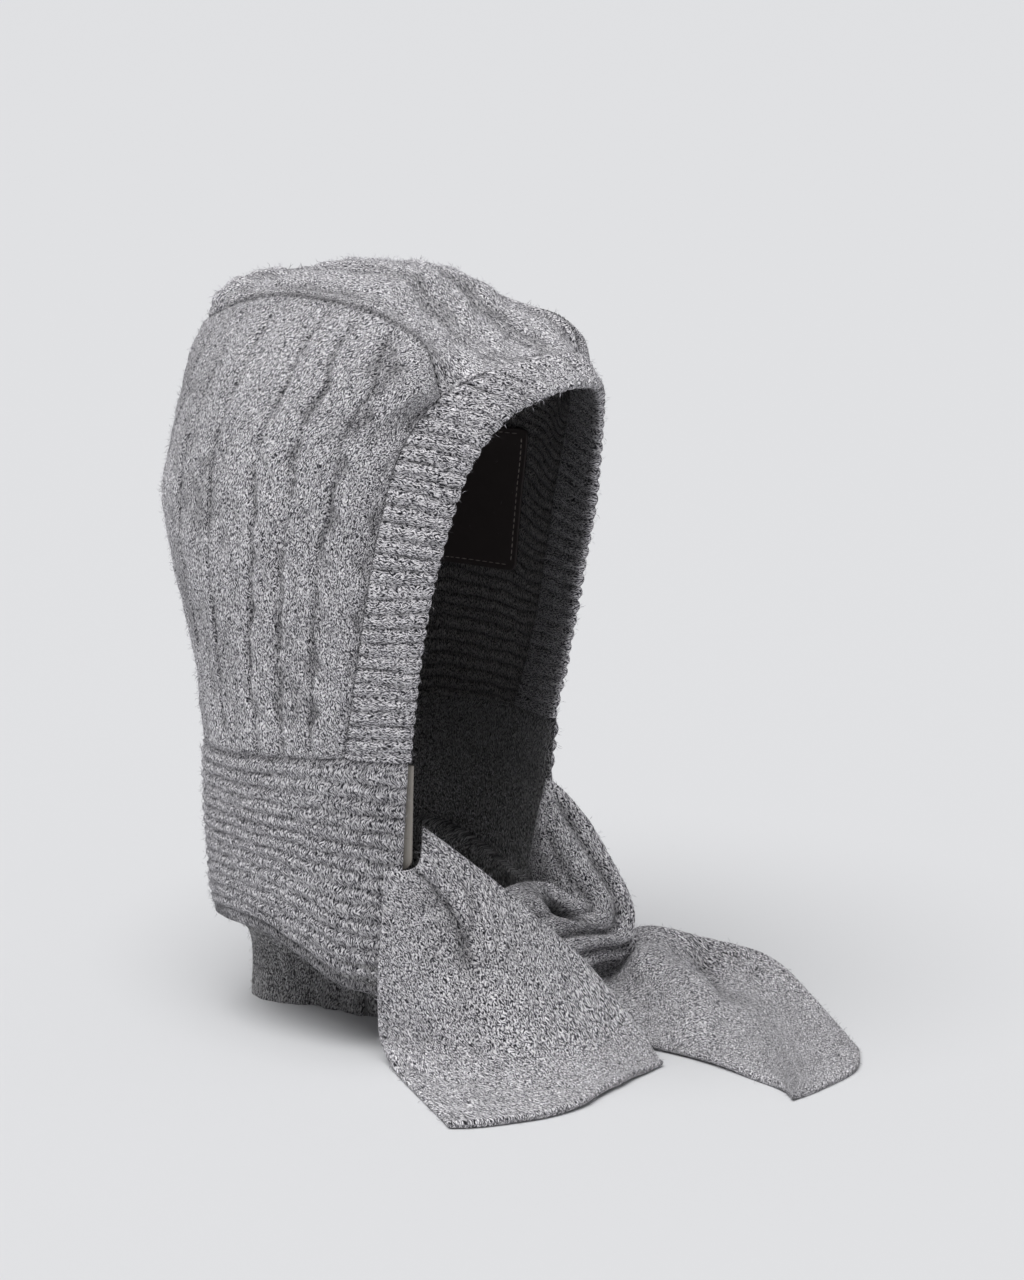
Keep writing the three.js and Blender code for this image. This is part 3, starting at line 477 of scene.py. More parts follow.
def wool_material(name, dark, middle, light, purl_rows=None):
    """Marl wool: dark and light fibres, and a soft fuzz that catches the light. The inner faces of
    the panels have purl rows across, purl_rows millimetres apart, with painted shade between the
    rows"""
    material = bpy.data.materials.new(name)
    material.use_nodes = True
    tree = material.node_tree
    tree.nodes.clear()
    out = tree.nodes.new("ShaderNodeOutputMaterial")
    shader = tree.nodes.new("ShaderNodeBsdfPrincipled")
    shader.inputs["Roughness"].default_value = 0.95
    shader.inputs["IOR"].default_value = 1.4
    shader.inputs["Specular IOR Level"].default_value = 0.1
    shader.inputs["Sheen Weight"].default_value = 0.25
    shader.inputs["Sheen Roughness"].default_value = 0.5
    shader.inputs["Sheen Tint"].default_value = (0.9, 0.9, 0.93, 1)
    where = tree.nodes.new("ShaderNodeUVMap")
    where.uv_map = "knit"
    scale = tree.nodes.new("ShaderNodeVectorMath")
    scale.operation = "SCALE"
    scale.inputs["Scale"].default_value = 1000.0
    tree.links.new(where.outputs[0], scale.inputs[0])
    knit = tree.nodes.new("ShaderNodeGroup")
    knit.node_tree = BRUSHED_KNIT
    tree.links.new(scale.outputs[0], knit.inputs["Place"])
    knit.inputs["Stitch Width"].default_value = STITCH[0]
    knit.inputs["Stitch Height"].default_value = STITCH[1]
    ramp = tree.nodes.new("ShaderNodeValToRGB")
    ramp.color_ramp.elements[0].position = 0.0
    ramp.color_ramp.elements[0].color = dark
    ramp.color_ramp.elements[1].position = 1.0
    ramp.color_ramp.elements[1].color = light
    half = ramp.color_ramp.elements.new(0.5)
    half.color = middle
    tree.links.new(knit.outputs["Marl"], ramp.inputs[0])
    colour = with_painted_shading(tree, ramp.outputs[0])
    height = knit.outputs["Height"]
    if purl_rows is not None:
        parts = tree.nodes.new("ShaderNodeSeparateXYZ")
        tree.links.new(scale.outputs[0], parts.inputs[0])
        wave = noise(tree, scale.outputs[0], 0.06, 1.0)
        turn = calc(tree, "MULTIPLY_ADD", wave, 5.0, parts.outputs[1])
        turn = calc(tree, "MULTIPLY", turn, math.pi / purl_rows)
        row = calc(tree, "ABSOLUTE", calc(tree, "SINE", turn))
        # Painted shade in the furrows between the purl rows
        shade = tree.nodes.new("ShaderNodeVectorMath")
        shade.operation = "SCALE"
        tree.links.new(colour, shade.inputs[0])
        tree.links.new(calc(tree, "MULTIPLY_ADD", row, 0.6, 0.45), shade.inputs["Scale"])
        colour = shade.outputs[0]
        height = calc(tree, "MULTIPLY_ADD", row, 1.6, height)
    tree.links.new(colour, shader.inputs["Base Color"])
    bump = tree.nodes.new("ShaderNodeBump")
    bump.inputs["Strength"].default_value = 1.0
    bump.inputs["Distance"].default_value = 0.0011
    tree.links.new(height, bump.inputs["Height"])
    tree.links.new(bump.outputs[0], shader.inputs["Normal"])
    tree.links.new(shader.outputs[0], out.inputs["Surface"])
    return material


WOOL = wool_material(
    "grey marl wool",
    (0.012, 0.012, 0.015, 1),
    (0.435, 0.422, 0.462, 1),
    (1.0, 0.98, 1.0, 1),
)
INNER_FACE = wool_material(
    "grey marl wool, inner face",
    (0.03, 0.028, 0.028, 1),
    (0.33, 0.31, 0.305, 1),
    (0.85, 0.82, 0.81, 1),
    purl_rows=7.0,
)


def fibre_material(name, dark, light):
    """Loose fibres, each of one shade between dark and light"""
    material = bpy.data.materials.new(name)
    material.use_nodes = True
    tree = material.node_tree
    shader = tree.nodes["Principled BSDF"]
    shader.inputs["Roughness"].default_value = 0.85
    shader.inputs["Specular IOR Level"].default_value = 0.2
    shade = tree.nodes.new("ShaderNodeAttribute")
    shade.attribute_name = "shade"
    ramp = tree.nodes.new("ShaderNodeValToRGB")
    ramp.color_ramp.elements[0].color = dark
    ramp.color_ramp.elements[1].color = light
    tree.links.new(shade.outputs["Fac"], ramp.inputs[0])
    # The fibres take the painted shading of the piece they stand on
    tree.links.new(with_painted_shading(tree, ramp.outputs[0]), shader.inputs["Base Color"])
    return material


FIBRE = fibre_material("grey marl fibres", (0.06, 0.06, 0.065, 1), (0.92, 0.9, 0.96, 1))


def fibre_mesh():
    """One bent fibre, a metre long and pointed at both ends"""
    ring = [(math.cos(a), math.sin(a)) for a in (0.0, 2.1, 4.2)]
    at = [(0, 0, 0)]
    at += [(0.16 + 0.026 * x, 0.026 * y, 0.5) for x, y in ring]
    at.append((0, 0, 1))
    faces = [(0, 2, 1), (0, 3, 2), (0, 1, 3), (1, 2, 4), (2, 3, 4), (3, 1, 4)]
    mesh = bpy.data.meshes.new("one fibre")
    mesh.from_pydata(at, [], faces)
    return in_scene("one fibre", mesh)


ONE_FIBRE = fibre_mesh()


def fuzz_tree():
    """Fibres strewn over a knitted piece, leaning along it"""
    tree = bpy.data.node_groups.new("fuzz", "GeometryNodeTree")
    face = tree.interface
    face.new_socket("Geometry", in_out="INPUT", socket_type="NodeSocketGeometry")
    face.new_socket("Density", in_out="INPUT", socket_type="NodeSocketFloat")
    face.new_socket("Length", in_out="INPUT", socket_type="NodeSocketFloat")
    face.new_socket("Seed", in_out="INPUT", socket_type="NodeSocketInt")
    face.new_socket("Material", in_out="INPUT", socket_type="NodeSocketMaterial")
    face.new_socket("Geometry", in_out="OUTPUT", socket_type="NodeSocketGeometry")
    new, join = tree.nodes.new, tree.links.new
    given = new("NodeGroupInput")
    out = new("NodeGroupOutput")
    spread = new("GeometryNodeDistributePointsOnFaces")
    join(given.outputs["Geometry"], spread.inputs["Mesh"])
    join(given.outputs["Density"], spread.inputs["Density"])
    join(given.outputs["Seed"], spread.inputs["Seed"])
    info = new("GeometryNodeObjectInfo")
    info.inputs["Object"].default_value = ONE_FIBRE
    put = new("GeometryNodeInstanceOnPoints")
    join(spread.outputs["Points"], put.inputs["Points"])
    join(info.outputs["Geometry"], put.inputs["Instance"])
    # Each fibre is spun round the wall's normal, leant over and spun round itself
    turned = spread.outputs["Rotation"]
    for index, (least, most) in enumerate((
        ((0.0, 0.0, 0.0), (0.0, 0.0, 6.283)),
        ((0.55, 0.0, 0.0), (1.5, 0.0, 0.0)),
        ((0.0, 0.0, 0.0), (0.0, 0.0, 6.283)),
    )):
        angle = new("FunctionNodeRandomValue")
        angle.data_type = "FLOAT_VECTOR"
        angle.inputs[0].default_value = least
        angle.inputs[1].default_value = most
        angle.inputs["Seed"].default_value = 11 + index
        rotate = new("FunctionNodeRotateRotation")
        rotate.rotation_space = "LOCAL"
        euler = new("FunctionNodeEulerToRotation")
        join(angle.outputs[0], euler.inputs[0])
        join(turned, rotate.inputs["Rotation"])
        join(euler.outputs[0], rotate.inputs["Rotate By"])
        turned = rotate.outputs[0]
    join(turned, put.inputs["Rotation"])
    size = new("FunctionNodeRandomValue")
    size.data_type = "FLOAT"
    size.inputs[2].default_value = 0.5
    size.inputs[3].default_value = 1.5
    size.inputs["Seed"].default_value = 5
    length = new("ShaderNodeMath")
    length.operation = "MULTIPLY"
    join(size.outputs[1], length.inputs[0])
    join(given.outputs["Length"], length.inputs[1])
    join(length.outputs[0], put.inputs["Scale"])
    shade = new("FunctionNodeRandomValue")
    shade.data_type = "FLOAT"
    shade.inputs["Seed"].default_value = 23
    keep = new("GeometryNodeStoreNamedAttribute")
    keep.data_type = "FLOAT"
    keep.domain = "INSTANCE"
    keep.inputs["Name"].default_value = "shade"
    join(put.outputs[0], keep.inputs["Geometry"])
    join(shade.outputs[1], keep.inputs["Value"])
    real = new("GeometryNodeRealizeInstances")
    join(keep.outputs[0], real.inputs[0])
    paint = new("GeometryNodeSetMaterial")
    join(real.outputs[0], paint.inputs["Geometry"])
    join(given.outputs["Material"], paint.inputs["Material"])
    join(paint.outputs[0], out.inputs[0])
    return tree


FUZZ = fuzz_tree()


def socket_name(tree, name):
    for item in tree.interface.items_tree:
        if item.in_out == "INPUT" and item.name == name:
            return item.identifier
    raise KeyError(name)


def add_fuzz(piece, density, length, seed, material):
    """Plain mesh of loose fibres on a piece, riding on the hood"""
    bearer = in_scene(piece.name + "_bearer", piece.data)
    modifier = bearer.modifiers.new("fuzz", "NODES")
    modifier.node_group = FUZZ
    modifier[socket_name(FUZZ, "Density")] = density
    modifier[socket_name(FUZZ, "Length")] = length
    modifier[socket_name(FUZZ, "Seed")] = seed
    modifier[socket_name(FUZZ, "Material")] = material
    ready = bearer.evaluated_get(bpy.context.evaluated_depsgraph_get())
    mesh = bpy.data.meshes.new_from_object(ready)
    bpy.data.objects.remove(bearer)
    mesh.name = piece.name + "_fuzz"
    fuzz = in_scene(piece.name + "_fuzz", mesh)
    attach(fuzz, "root")


# Loose fibres to a square metre, and their length in metres
FUZZ_DENSITY = 95000.0
FUZZ_LENGTH = 0.003

# Grooves of the side panel: how far round the panel each is at five places from the neck to
# the top, then its half width and its depth in millimetres
SIDE_GROOVES = [
    [0.085, 0.092, 0.108, 0.14, 0.24, 1.7, 2.0],
    [0.15, 0.16, 0.183, 0.225, 0.345, 1.8, 2.2],
    [0.215, 0.228, 0.252, 0.31, 0.45, 1.8, 2.2],
    [0.36, 0.37, 0.39, 0.46, 0.6, 1.8, 1.9],
    [0.5, 0.51, 0.53, 0.58, 0.69, 1.7, 1.5],
    [0.64, 0.65, 0.67, 0.7, 0.77, 1.7, 1.5],
    [0.78, 0.79, 0.8, 0.82, 0.86, 1.7, 1.4],
    [0.9, 0.9, 0.91, 0.92, 0.93, 1.7, 1.4],
]
SIDE_GIRTH = 290
SIDE_HEIGHT = 240
CABLE_PITCH = 26
CABLE_HEIGHT = 2.5
SIDE_COLUMNS = 216
SIDE_ROWS = 180
INNER_STEP = 3

around, up = grid(np.linspace(0, 1, SIDE_COLUMNS + 1), np.linspace(0, 1, SIDE_ROWS + 1))
plain = side_plain(around, up)
outward = wall_direction(plain)
level = plain[..., 2]
where = around * SIDE_GIRTH


def groove_at(groove):
    return curve(groove[:5], up) * SIDE_GIRTH


# Soft lumps all over, then the grooves, and two columns of cable between them
relief = 0.9 * uneven(where, level, 31, 1) + 0.5 * uneven(where, level, 8, 2)
relief += 0.35 * uneven(where, level * 0.6, 3.5, 6)
for groove in SIDE_GROOVES:
    number = groove[0] * 100
    wander = 0.9 * uneven(level, level * 0 + number, 11, 3) + 1.5 * uneven(level, number, 37, 4)
    off = (where - groove_at(groove) - wander) / groove[5]
    strength = 0.8 + 0.3 * uneven(level, level * 0 + number, 15, 5)
    strength = strength + 0.25 * np.cos(level * 2 * np.pi / 6.3)
    relief -= groove[6] * strength * np.exp(-off * off)
front_cable = (groove_at(SIDE_GROOVES[0]) * 0.5, groove_at(SIDE_GROOVES[0]) * 0.42)
middle_line = (groove_at(SIDE_GROOVES[1]) + groove_at(SIDE_GROOVES[2])) / 2
half_gap = (groove_at(SIDE_GROOVES[2]) - groove_at(SIDE_GROOVES[1])) / 2
for middle, half, height in (
    (front_cable[0], front_cable[1], 1.0),
    (middle_line, half_gap * 0.85, 0.9),
):
    twist = cable(where - middle, level, half, CABLE_PITCH)
    inside = 1 - rise(np.abs(where - middle), half * 0.95, half * 1.15)
    relief += CABLE_HEIGHT * height * (twist - 0.45) * inside
# The borders lie flat and sink in at their seams, most of all in the crease
to_crease = (1 - up) * SIDE_HEIGHT
relief *= rise(up, 0, 0.02) * rise(to_crease, 2, 12) * rise(around, 0, 0.012)
relief *= 1 - rise(around, 0.985, 1)
dotted = 0.8 + 0.2 * np.cos(where / 5 * 2 * np.pi)
relief -= CREASE_DEPTH * dotted * (1 - rise(to_crease, 0, 4))
relief -= 1.3 * (1 - rise(where, 0, 3.5))
relief -= 1.3 * (1 - rise(SIDE_GIRTH - where, 0, 3.0))
relief -= 1.2 * (1 - rise(up * SIDE_HEIGHT, 0, 3.0))
# Painted shade in the grooves, beside the cables' strands and in the crease, taken from the relief
side_painted_shading = 1.04 * painted_groove_shade(relief)
side_outer = moved(plain, outward, relief)
side_inner = moved(plain, outward, -KNIT_WALL + 0 * level)[::INNER_STEP, ::INNER_STEP]
side_place = place_on(plain)
for name, side in (("side_panel_right", -1), ("side_panel_left", 1)):
    flip = np.array([side, 1, 1])
    outer, inner = settled(side_outer * flip), settled(side_inner * flip)
    at, faces = body_between(outer, inner, INNER_STEP)
    place = both_faces(side_place, INNER_STEP) + [400 * side, 0]
    tone = np.concatenate([side_painted_shading.ravel(), np.full(len(at) - side_painted_shading.size, INSIDE_PAINTED_SHADE)])
    panel = add_mesh(name + "_knit", at, faces, place, WOOL, tone, (side_painted_shading.size, INNER_FACE))
    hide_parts(name)
    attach(panel, "root")
    add_fuzz(panel, FUZZ_DENSITY, FUZZ_LENGTH, 3 + side, FIBRE)


# Top panel: the knitted strip over the crown, in the same marl wool, with cables that run from the
# face band to the back. A crease, darkened with painted shade, shows where it is sewn to the side
# panels.
CROWN_LINE = np.array([
    # along, forward, up
    [0, 0.47, 0.912],
    [0.08, 0.427, 0.916],
    [0.18, 0.357, 0.932],
    [0.3, 0.251, 0.972],
    [0.4, 0.18, 0.996],
    [0.62, -0.05, 0.99],
    [0.74, -0.145, 0.964],
    [0.82, -0.2, 0.969],
    [0.89, -0.245, 0.96],
    [0.95, -0.284, 0.945],
    [1, -0.309, 0.915],
])
TOP_HALF_WIDTH = 52
TOP_LENGTH = 190
TOP_COLUMNS = 96
TOP_ROWS = 150


def top_plain(along, across):
    """Plain surface of the top panel: along from the band to the back, across from -1 to 1"""
    share = np.abs(across)[..., None]

    def strip(edge, forward, high):
        return np.concatenate([
            edge[..., :1] * share,
            mix(-forward[..., None] * HOOD_DEPTH, edge[..., 1:2], share ** 3.5),
            mix(high[..., None] * HOOD_HEIGHT, edge[..., 2:], share ** 2.2),
        ], axis=-1)

    at = strip(
        crease_point(along * CREASE_CORNER),
        read_table(CROWN_LINE, along, 1),
        read_table(CROWN_LINE, along, 2),
    )
    start, end = np.zeros_like(along), np.full_like(along, CREASE_CORNER)
    first = strip(crease_point(start), start + CROWN_LINE[0, 1], start + CROWN_LINE[0, 2])
    last = strip(crease_point(end), start + CROWN_LINE[-1, 1], start + CROWN_LINE[-1, 2])
    seam = band_seam(mix(1, CORNER_SHARE, share[..., 0]))
    rear = crease_point(mix(1, CREASE_CORNER, share[..., 0]))
    at = at + (seam - first) * ((1 - along) ** 4)[..., None]
    at = at + (rear - last) * (along ** 4)[..., None]
    at[..., 0] *= np.where(across < 0, -1, 1)
    return at


across, along = grid(np.linspace(-1, 1, TOP_COLUMNS + 1), np.linspace(0, 1, TOP_ROWS + 1))
plain = top_plain(along, across)
# It sags behind the band and lifts before the back
plain[..., 2] -= 4 * np.exp(-((along - 0.17) / 0.12) ** 2) * (1 - across ** 4)
plain[..., 2] += 3 * np.exp(-((along - 0.89) / 0.06) ** 2) * (1 - across ** 4)
outward = wall_direction(plain)
top_place = place_on(plain)
where, way = top_place[..., 0], top_place[..., 1]
relief = 0.6 * uneven(where, way, 26, 11) + 0.35 * uneven(where, way, 8, 12)
# Three cables, each between two grooves
for middle in (-0.62, 0.0, 0.62):
    off = (across - middle) * TOP_HALF_WIDTH
    twist = cable(off, way + 9 * middle, 10.5, CABLE_PITCH)
    inside = 1 - rise(np.abs(off), 10, 12)
    relief += CABLE_HEIGHT * (twist - 0.4) * inside
    for edge in (-13.5, 13.5):
        relief -= 1.5 * np.exp(-((off - edge) / 1.9) ** 2)
# The borders lie flat and sink in at their seams
to_side = (1 - np.abs(across)) * TOP_HALF_WIDTH
to_back = (1 - along) * TOP_LENGTH
relief *= rise(to_side, 1, 7) * rise(to_back, 1, 8) * rise(along * TOP_LENGTH, 0, 5)
dotted = 0.8 + 0.2 * np.cos(way / 5 * 2 * np.pi)
relief -= CREASE_DEPTH * dotted * (1 - rise(np.minimum(to_side, to_back), 0, 4))
relief -= 1.3 * (1 - rise(along * TOP_LENGTH, 0, 3.5))
top_outer = moved(plain, outward, relief)
top_inner = moved(plain, outward, -KNIT_WALL + 0 * relief)[::INNER_STEP, ::INNER_STEP]
at, faces = body_between(settled(top_outer), settled(top_inner), INNER_STEP)
place = both_faces(top_place, INNER_STEP)
# Painted light: the top panel is lighter than the sides, as if lit from above, with painted shade in
# its grooves and crease
top_painted_shading = 1.12 * painted_groove_shade(relief)
tone = np.concatenate([top_painted_shading.ravel(), np.full(len(at) - relief.size, INSIDE_PAINTED_SHADE)])
top_panel = add_mesh("top_panel_knit", at, faces, place, WOOL, tone, (relief.size, INNER_FACE))
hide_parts("top_panel")
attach(top_panel, "root")
add_fuzz(top_panel, FUZZ_DENSITY, FUZZ_LENGTH, 17, FIBRE)


# Face band: a doubled strip of rib knit round the face, its ribs across the strip. It is sewn
# to the side and top panels and ends at the neck seam on both sides.
BAND_WALL = 6.0
RIB_PITCH = 7.6
RIB_DEPTH = 1.5
BAND_SECTION = np.array([
    # along, depth
    [1, 0],
    [0.9, -0.02],
    [0.62, -0.04],
    [0.25, -0.02],
    [0.13, 0.05],
    [0.06, 0.17],
    [0.015, 0.33],
    [0, 0.5],
    [0.015, 0.67],
    [0.06, 0.83],
    [0.13, 0.95],
    [0.4, 1],
    [0.8, 1],
    [1, 1],
])
BAND_STEPS = 52
BAND_ROWS = 420


def tube_faces(numbers):
    """Faces between rings of points, from each row of numbers to the next"""
    after = np.roll(numbers, -1, axis=1)
    quads = np.stack([numbers[:-1], after[:-1], after[1:], numbers[1:]], axis=-1)
    return quads.reshape(-1, 4).tolist()


# Rows of the strip, evenly spaced by their length from the middle of the forehead
edge_shares = np.linspace(0, 1, 800)
fine_edge = curve(EDGE_POINTS, edge_shares)
lengths = np.concatenate([[0], np.cumsum(np.linalg.norm(np.diff(fine_edge, axis=0), axis=1))])
half_length = lengths[-1]
signed = np.linspace(-half_length, half_length, BAND_ROWS + 1)
band_share = np.interp(half_length - np.abs(signed), lengths, edge_shares)
profile = curve(BAND_SECTION, np.linspace(0, 1, BAND_STEPS + 1))
along = np.clip(profile[None, :, 0], 0, 1 - 0.1 / BAND_WIDTH) * np.ones((BAND_ROWS + 1, 1))
depth = profile[None, :, 1] * np.ones((BAND_ROWS + 1, 1))
edge = curve(EDGE_POINTS, band_share)[:, None, :]
seam = band_seam(band_share)[:, None, :]
at = mix(edge, seam, along[..., None])
way = along * BAND_WIDTH
# Ribs that wander a little, stand out on both faces and fade toward the seam
skew = signed[:, None] + 2.2 * uneven(signed[:, None], way, 24, 21) + 1.2 * along
ribs = np.abs(np.cos(np.pi * skew / RIB_PITCH)) ** 0.6 - 0.6
ribs = ribs * (1 + 0.35 * uneven(signed[:, None], way + depth * 40, 11, 22))
fade = 1 - 0.85 * rise(along, 0.9, 1)
faces_out = np.where(depth < 0.5, 1.0, -1.0)
middle_wall = 1 - np.exp(-((depth - 0.5) / 0.3) ** 2)
swell = RIB_DEPTH * 1.7 * ribs * fade * faces_out * middle_wall
# Round the turned edge they stand out forward
nose = RIB_DEPTH * ribs * (1 - rise(along, 0.02, 0.16))
at = moved(at, unit(edge - seam) * np.ones_like(at), nose)
lumps = 0.45 * uneven(signed[:, None], way + depth * 30, 14, 23)
down_edge = 1.2 * rise(along, 0.9, 1) * (depth < 0.5)
outward = wall_direction(seam) * np.ones_like(at)
at = moved(at, outward, swell + lumps - depth * BAND_WALL - down_edge)
at[..., 0] *= np.where(signed < 0, -1, 1)[:, None]
rows, cols = at.shape[:2]
numbers = np.arange(rows * cols).reshape(rows, cols)
faces = tube_faces(numbers)
faces.append(tuple(numbers[0, ::-1].tolist()))
faces.append(tuple(numbers[-1].tolist()))
profile_way = np.concatenate([[0], np.cumsum(np.hypot(
    np.diff(profile[:, 0]) * BAND_WIDTH, np.diff(profile[:, 1]) * BAND_WALL))])
place = np.stack(np.broadcast_arrays(signed[:, None], profile_way[None, :] + 900), axis=-1)
# Painted shade in the rib valleys and at the sunken seam edge, and deeper painted shade on the
# band's inner side inside the hood
tone = painted_groove_shade((ribs + 0.15) * 4.5 - down_edge * 1.2) * mix(1, INSIDE_PAINTED_SHADE, rise(depth, 0.6, 0.9))
at = settled(at).reshape(-1, 3)
face_band = add_mesh("face_band_knit", at, faces, place.reshape(-1, 2), WOOL, tone)
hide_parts("face_band")
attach(face_band, "root")
add_fuzz(face_band, FUZZ_DENSITY, FUZZ_LENGTH, 29, FIBRE)


# Neck band: the collar, knitted in the same marl wool with level purl ridges and sewn on at the neck
# seam. Its lower edge is folded in, its front edges hang down on both sides of the neck, and its
# inner face is in darker wool as painted shade, darkest deep inside.
COLLAR_WIDTH = 164
COLLAR_DEPTH = 160
RIDGE_PITCH = 6.6
RIDGE_DEPTH = 1.3
COLLAR_PLAN = np.array([
    # around, waist out, waist back, fold out, fold back, fold up
    [0, 0.735, -1.0, 0.72, -0.95, 0.22],
    [0.13, 0.9, -0.62, 0.87, -0.6, 0.25],
    [0.25, 0.97, -0.28, 0.93, -0.27, 0.34],
    [0.38, 0.98, 0.08, 0.94, 0.06, 0.4],
    [0.55, 0.87, 0.53, 0.82, 0.5, 0.39],
    [0.75, 0.56, 0.84, 0.53, 0.8, 0.36],
    [1, 0, 0.97, 0, 0.93, 0.35],
])
COLLAR_FRONT = 0.13
COLLAR_LENGTH = 520
COLLAR_HEIGHT = 100
COLLAR_COLUMNS = 342
COLLAR_ROWS = 84


def neck_seam_point(around):
    front = mix(EDGE_POINTS[0], SEAM_POINTS[0], np.clip(around / COLLAR_FRONT, 0, 1)[..., None])
    behind = np.clip((around - COLLAR_FRONT) / (1 - COLLAR_FRONT), 0, 1)
    rest = side_plain(behind, np.zeros_like(around))
    return np.where((around < COLLAR_FRONT)[..., None], front, rest)


def collar_plain(around, down):
    """Plain surface of the collar: around from the front edge to the back, down to the fold"""
    seam = neck_seam_point(around)
    keep_waist, keep_fold = 2 * down * (1 - down), down ** 2
    flat = seam[..., :2] * ((1 - down) ** 2)[..., None]
    for column, size in ((1, COLLAR_WIDTH / 2), (2, COLLAR_DEPTH / 2)):
        flat[..., column - 1] += read_table(COLLAR_PLAN, around, column) * size * keep_waist
        flat[..., column - 1] += read_table(COLLAR_PLAN, around, column + 2) * size * keep_fold
    fold = read_table(COLLAR_PLAN, around, 5) * NECK_SEAM_HEIGHT
    return points(flat[..., 0], flat[..., 1], mix(seam[..., 2], fold, down))


def collar_direction(at):
    return unit(points(at[..., 0] / COLLAR_WIDTH ** 2, at[..., 1] / COLLAR_DEPTH ** 2, 0))


def rounded_ends(count, length, radius):
    """Shares from 0 to 1 with closer steps at both ends, for a rounded border"""
    near = radius / length * np.array([0, 0.08, 0.3, 0.6])
    middle = np.linspace(radius / length, 1 - radius / length, count + 1 - 2 * len(near))
    return np.concatenate([near, middle, 1 - near[::-1]])


def border_share(distance, radius):
    """Share of the wall's half thickness that is left at a distance from its border"""
    left = 1 - np.clip(distance / radius, 0, 1)
    return np.sqrt(np.maximum(0, 1 - left * left))


# Dark wool as painted shade, for the collar's inner face and the layer under its fold, which lie in
# shade
SHADED_INNER_WOOL = wool_material(
    "darker inner wool",
    (0.03, 0.029, 0.03, 1),
    (0.17, 0.167, 0.172, 1),
    (0.46, 0.455, 0.46, 1),
)
SHADED_INNER_FIBRE = fibre_material("darker fibres", (0.05, 0.048, 0.047, 1), (0.5, 0.48, 0.47, 1))

turn = rounded_ends(COLLAR_COLUMNS, COLLAR_LENGTH, 2.0) * 2 - 1
down_steps = np.linspace(0, 1, COLLAR_ROWS + 1)
turn, down = grid(turn, down_steps)
around = 1 - np.abs(turn)
plain = collar_plain(around, down)
plain[..., 0] *= np.where(turn < 0, -1, 1)
outward = collar_direction(plain)
way = down * COLLAR_HEIGHT
where = turn * 250
# Ridges that wander over soft lumps, above a hem that is drawn in
height_wave = 1.6 * uneven(where, way, 30, 31) + 0.9 * uneven(where, way, 8, 32)
ridge = np.abs(np.cos(np.pi * (way + height_wave) / RIDGE_PITCH)) ** 0.8 - 0.55
ridge *= 1 + 0.4 * uneven(where, way, 5, 33)
relief = RIDGE_DEPTH * 1.5 * ridge + 0.8 * uneven(where, way, 34, 34) * rise(way, 3, 20)
relief *= rise(way, 0, 3)
relief -= 1.2 * (1 - rise(way, 0, 3.0))
relief -= 3.2 * rise(way, 82, 104) ** 2
relief[-1] = relief[-2]
# Painted shade: the collar is darker than the side panels because it faces down, and darker still
# between its ridges
collar_painted_shading = 0.92 * painted_groove_shade(relief * 1.2)
left = border_share(around * COLLAR_LENGTH / 2, 2.0)
outer = moved(plain, outward, relief * left - KNIT_WALL / 2 * (1 - left))
# The hem is rounded under
lip = []
for angle in (0.5, 1.0, 1.57):
    drop = outer[-1].copy()
    drop = drop - outward[-1] * (KNIT_WALL / 2 * (1 - math.cos(angle)))
    drop[:, 2] -= KNIT_WALL * 0.5 * math.sin(angle)
    lip.append(drop)
outer = np.concatenate([outer, np.stack(lip)])
inner = moved(plain, outward, -KNIT_WALL + KNIT_WALL / 2 * (1 - left) + 0 * way)
inner_rows = np.round(np.linspace(0, COLLAR_ROWS, (outer.shape[0] - 1) // INNER_STEP + 1))
inner = inner[inner_rows.astype(int)][:, ::INNER_STEP]
at, faces = body_between(outer, inner, INNER_STEP)
collar_place = place_on(outer)
place = both_faces(collar_place, INNER_STEP) + [0, 1500]
collar_painted_shading = np.concatenate([collar_painted_shading, np.repeat(collar_painted_shading[-1:], len(lip), axis=0)])
# Painted shade on the collar's inner face: darkest near the neck seam, deep inside, and lighter
# toward the fold
inner_painted_shading = 0.75 + 1.1 * rise(inner_rows / COLLAR_ROWS, 0.05, 0.7)
inner_painted_shading = inner_painted_shading[:, None] * np.ones((1, inner.shape[1]))
tone = np.concatenate([collar_painted_shading.ravel(), inner_painted_shading.ravel()])
neck_band = add_mesh("neck_band_knit", at, faces, place, WOOL, tone,
                     (collar_painted_shading.size, SHADED_INNER_WOOL))
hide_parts("neck_band")
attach(neck_band, "root")
add_fuzz(neck_band, FUZZ_DENSITY, FUZZ_LENGTH, 37, FIBRE)


# Layer under the collar: plain knit in the same darkened wool as the collar's inner face, dark as
# painted shade under the collar. It is turned in below the collar's fold, draws in and stands on the
# floor as a foot.
FOOT_HEIGHT = 32
FOOT_WIDTH = 84
FOOT_DEPTH = 118
FOOT_WALL = 4.0
LAY_GAP = 0.4
FOOT_PLAN = np.array([
    # out, back
    [-0.2, -0.95],
    [-0.52, -0.55],
    [-0.62, 0.05],
    [-0.83, 0.47],
    [-0.6, 0.77],
    [-0.08, 0.92],
    [0.62, 0.84],
    [1, 0.35],
    [0.92, -0.4],
    [0.45, -0.95],
])
FOOT_SHIFT = (0.05, 0.1)
UNDER_TOP = 0.72
# UNDER_TONE lightens the painted shade on the under layer's outer face
UNDER_TONE = 1.2
UNDER_FRONT = 30
UNDER_COLUMNS = 300
UNDER_ROWS = 44

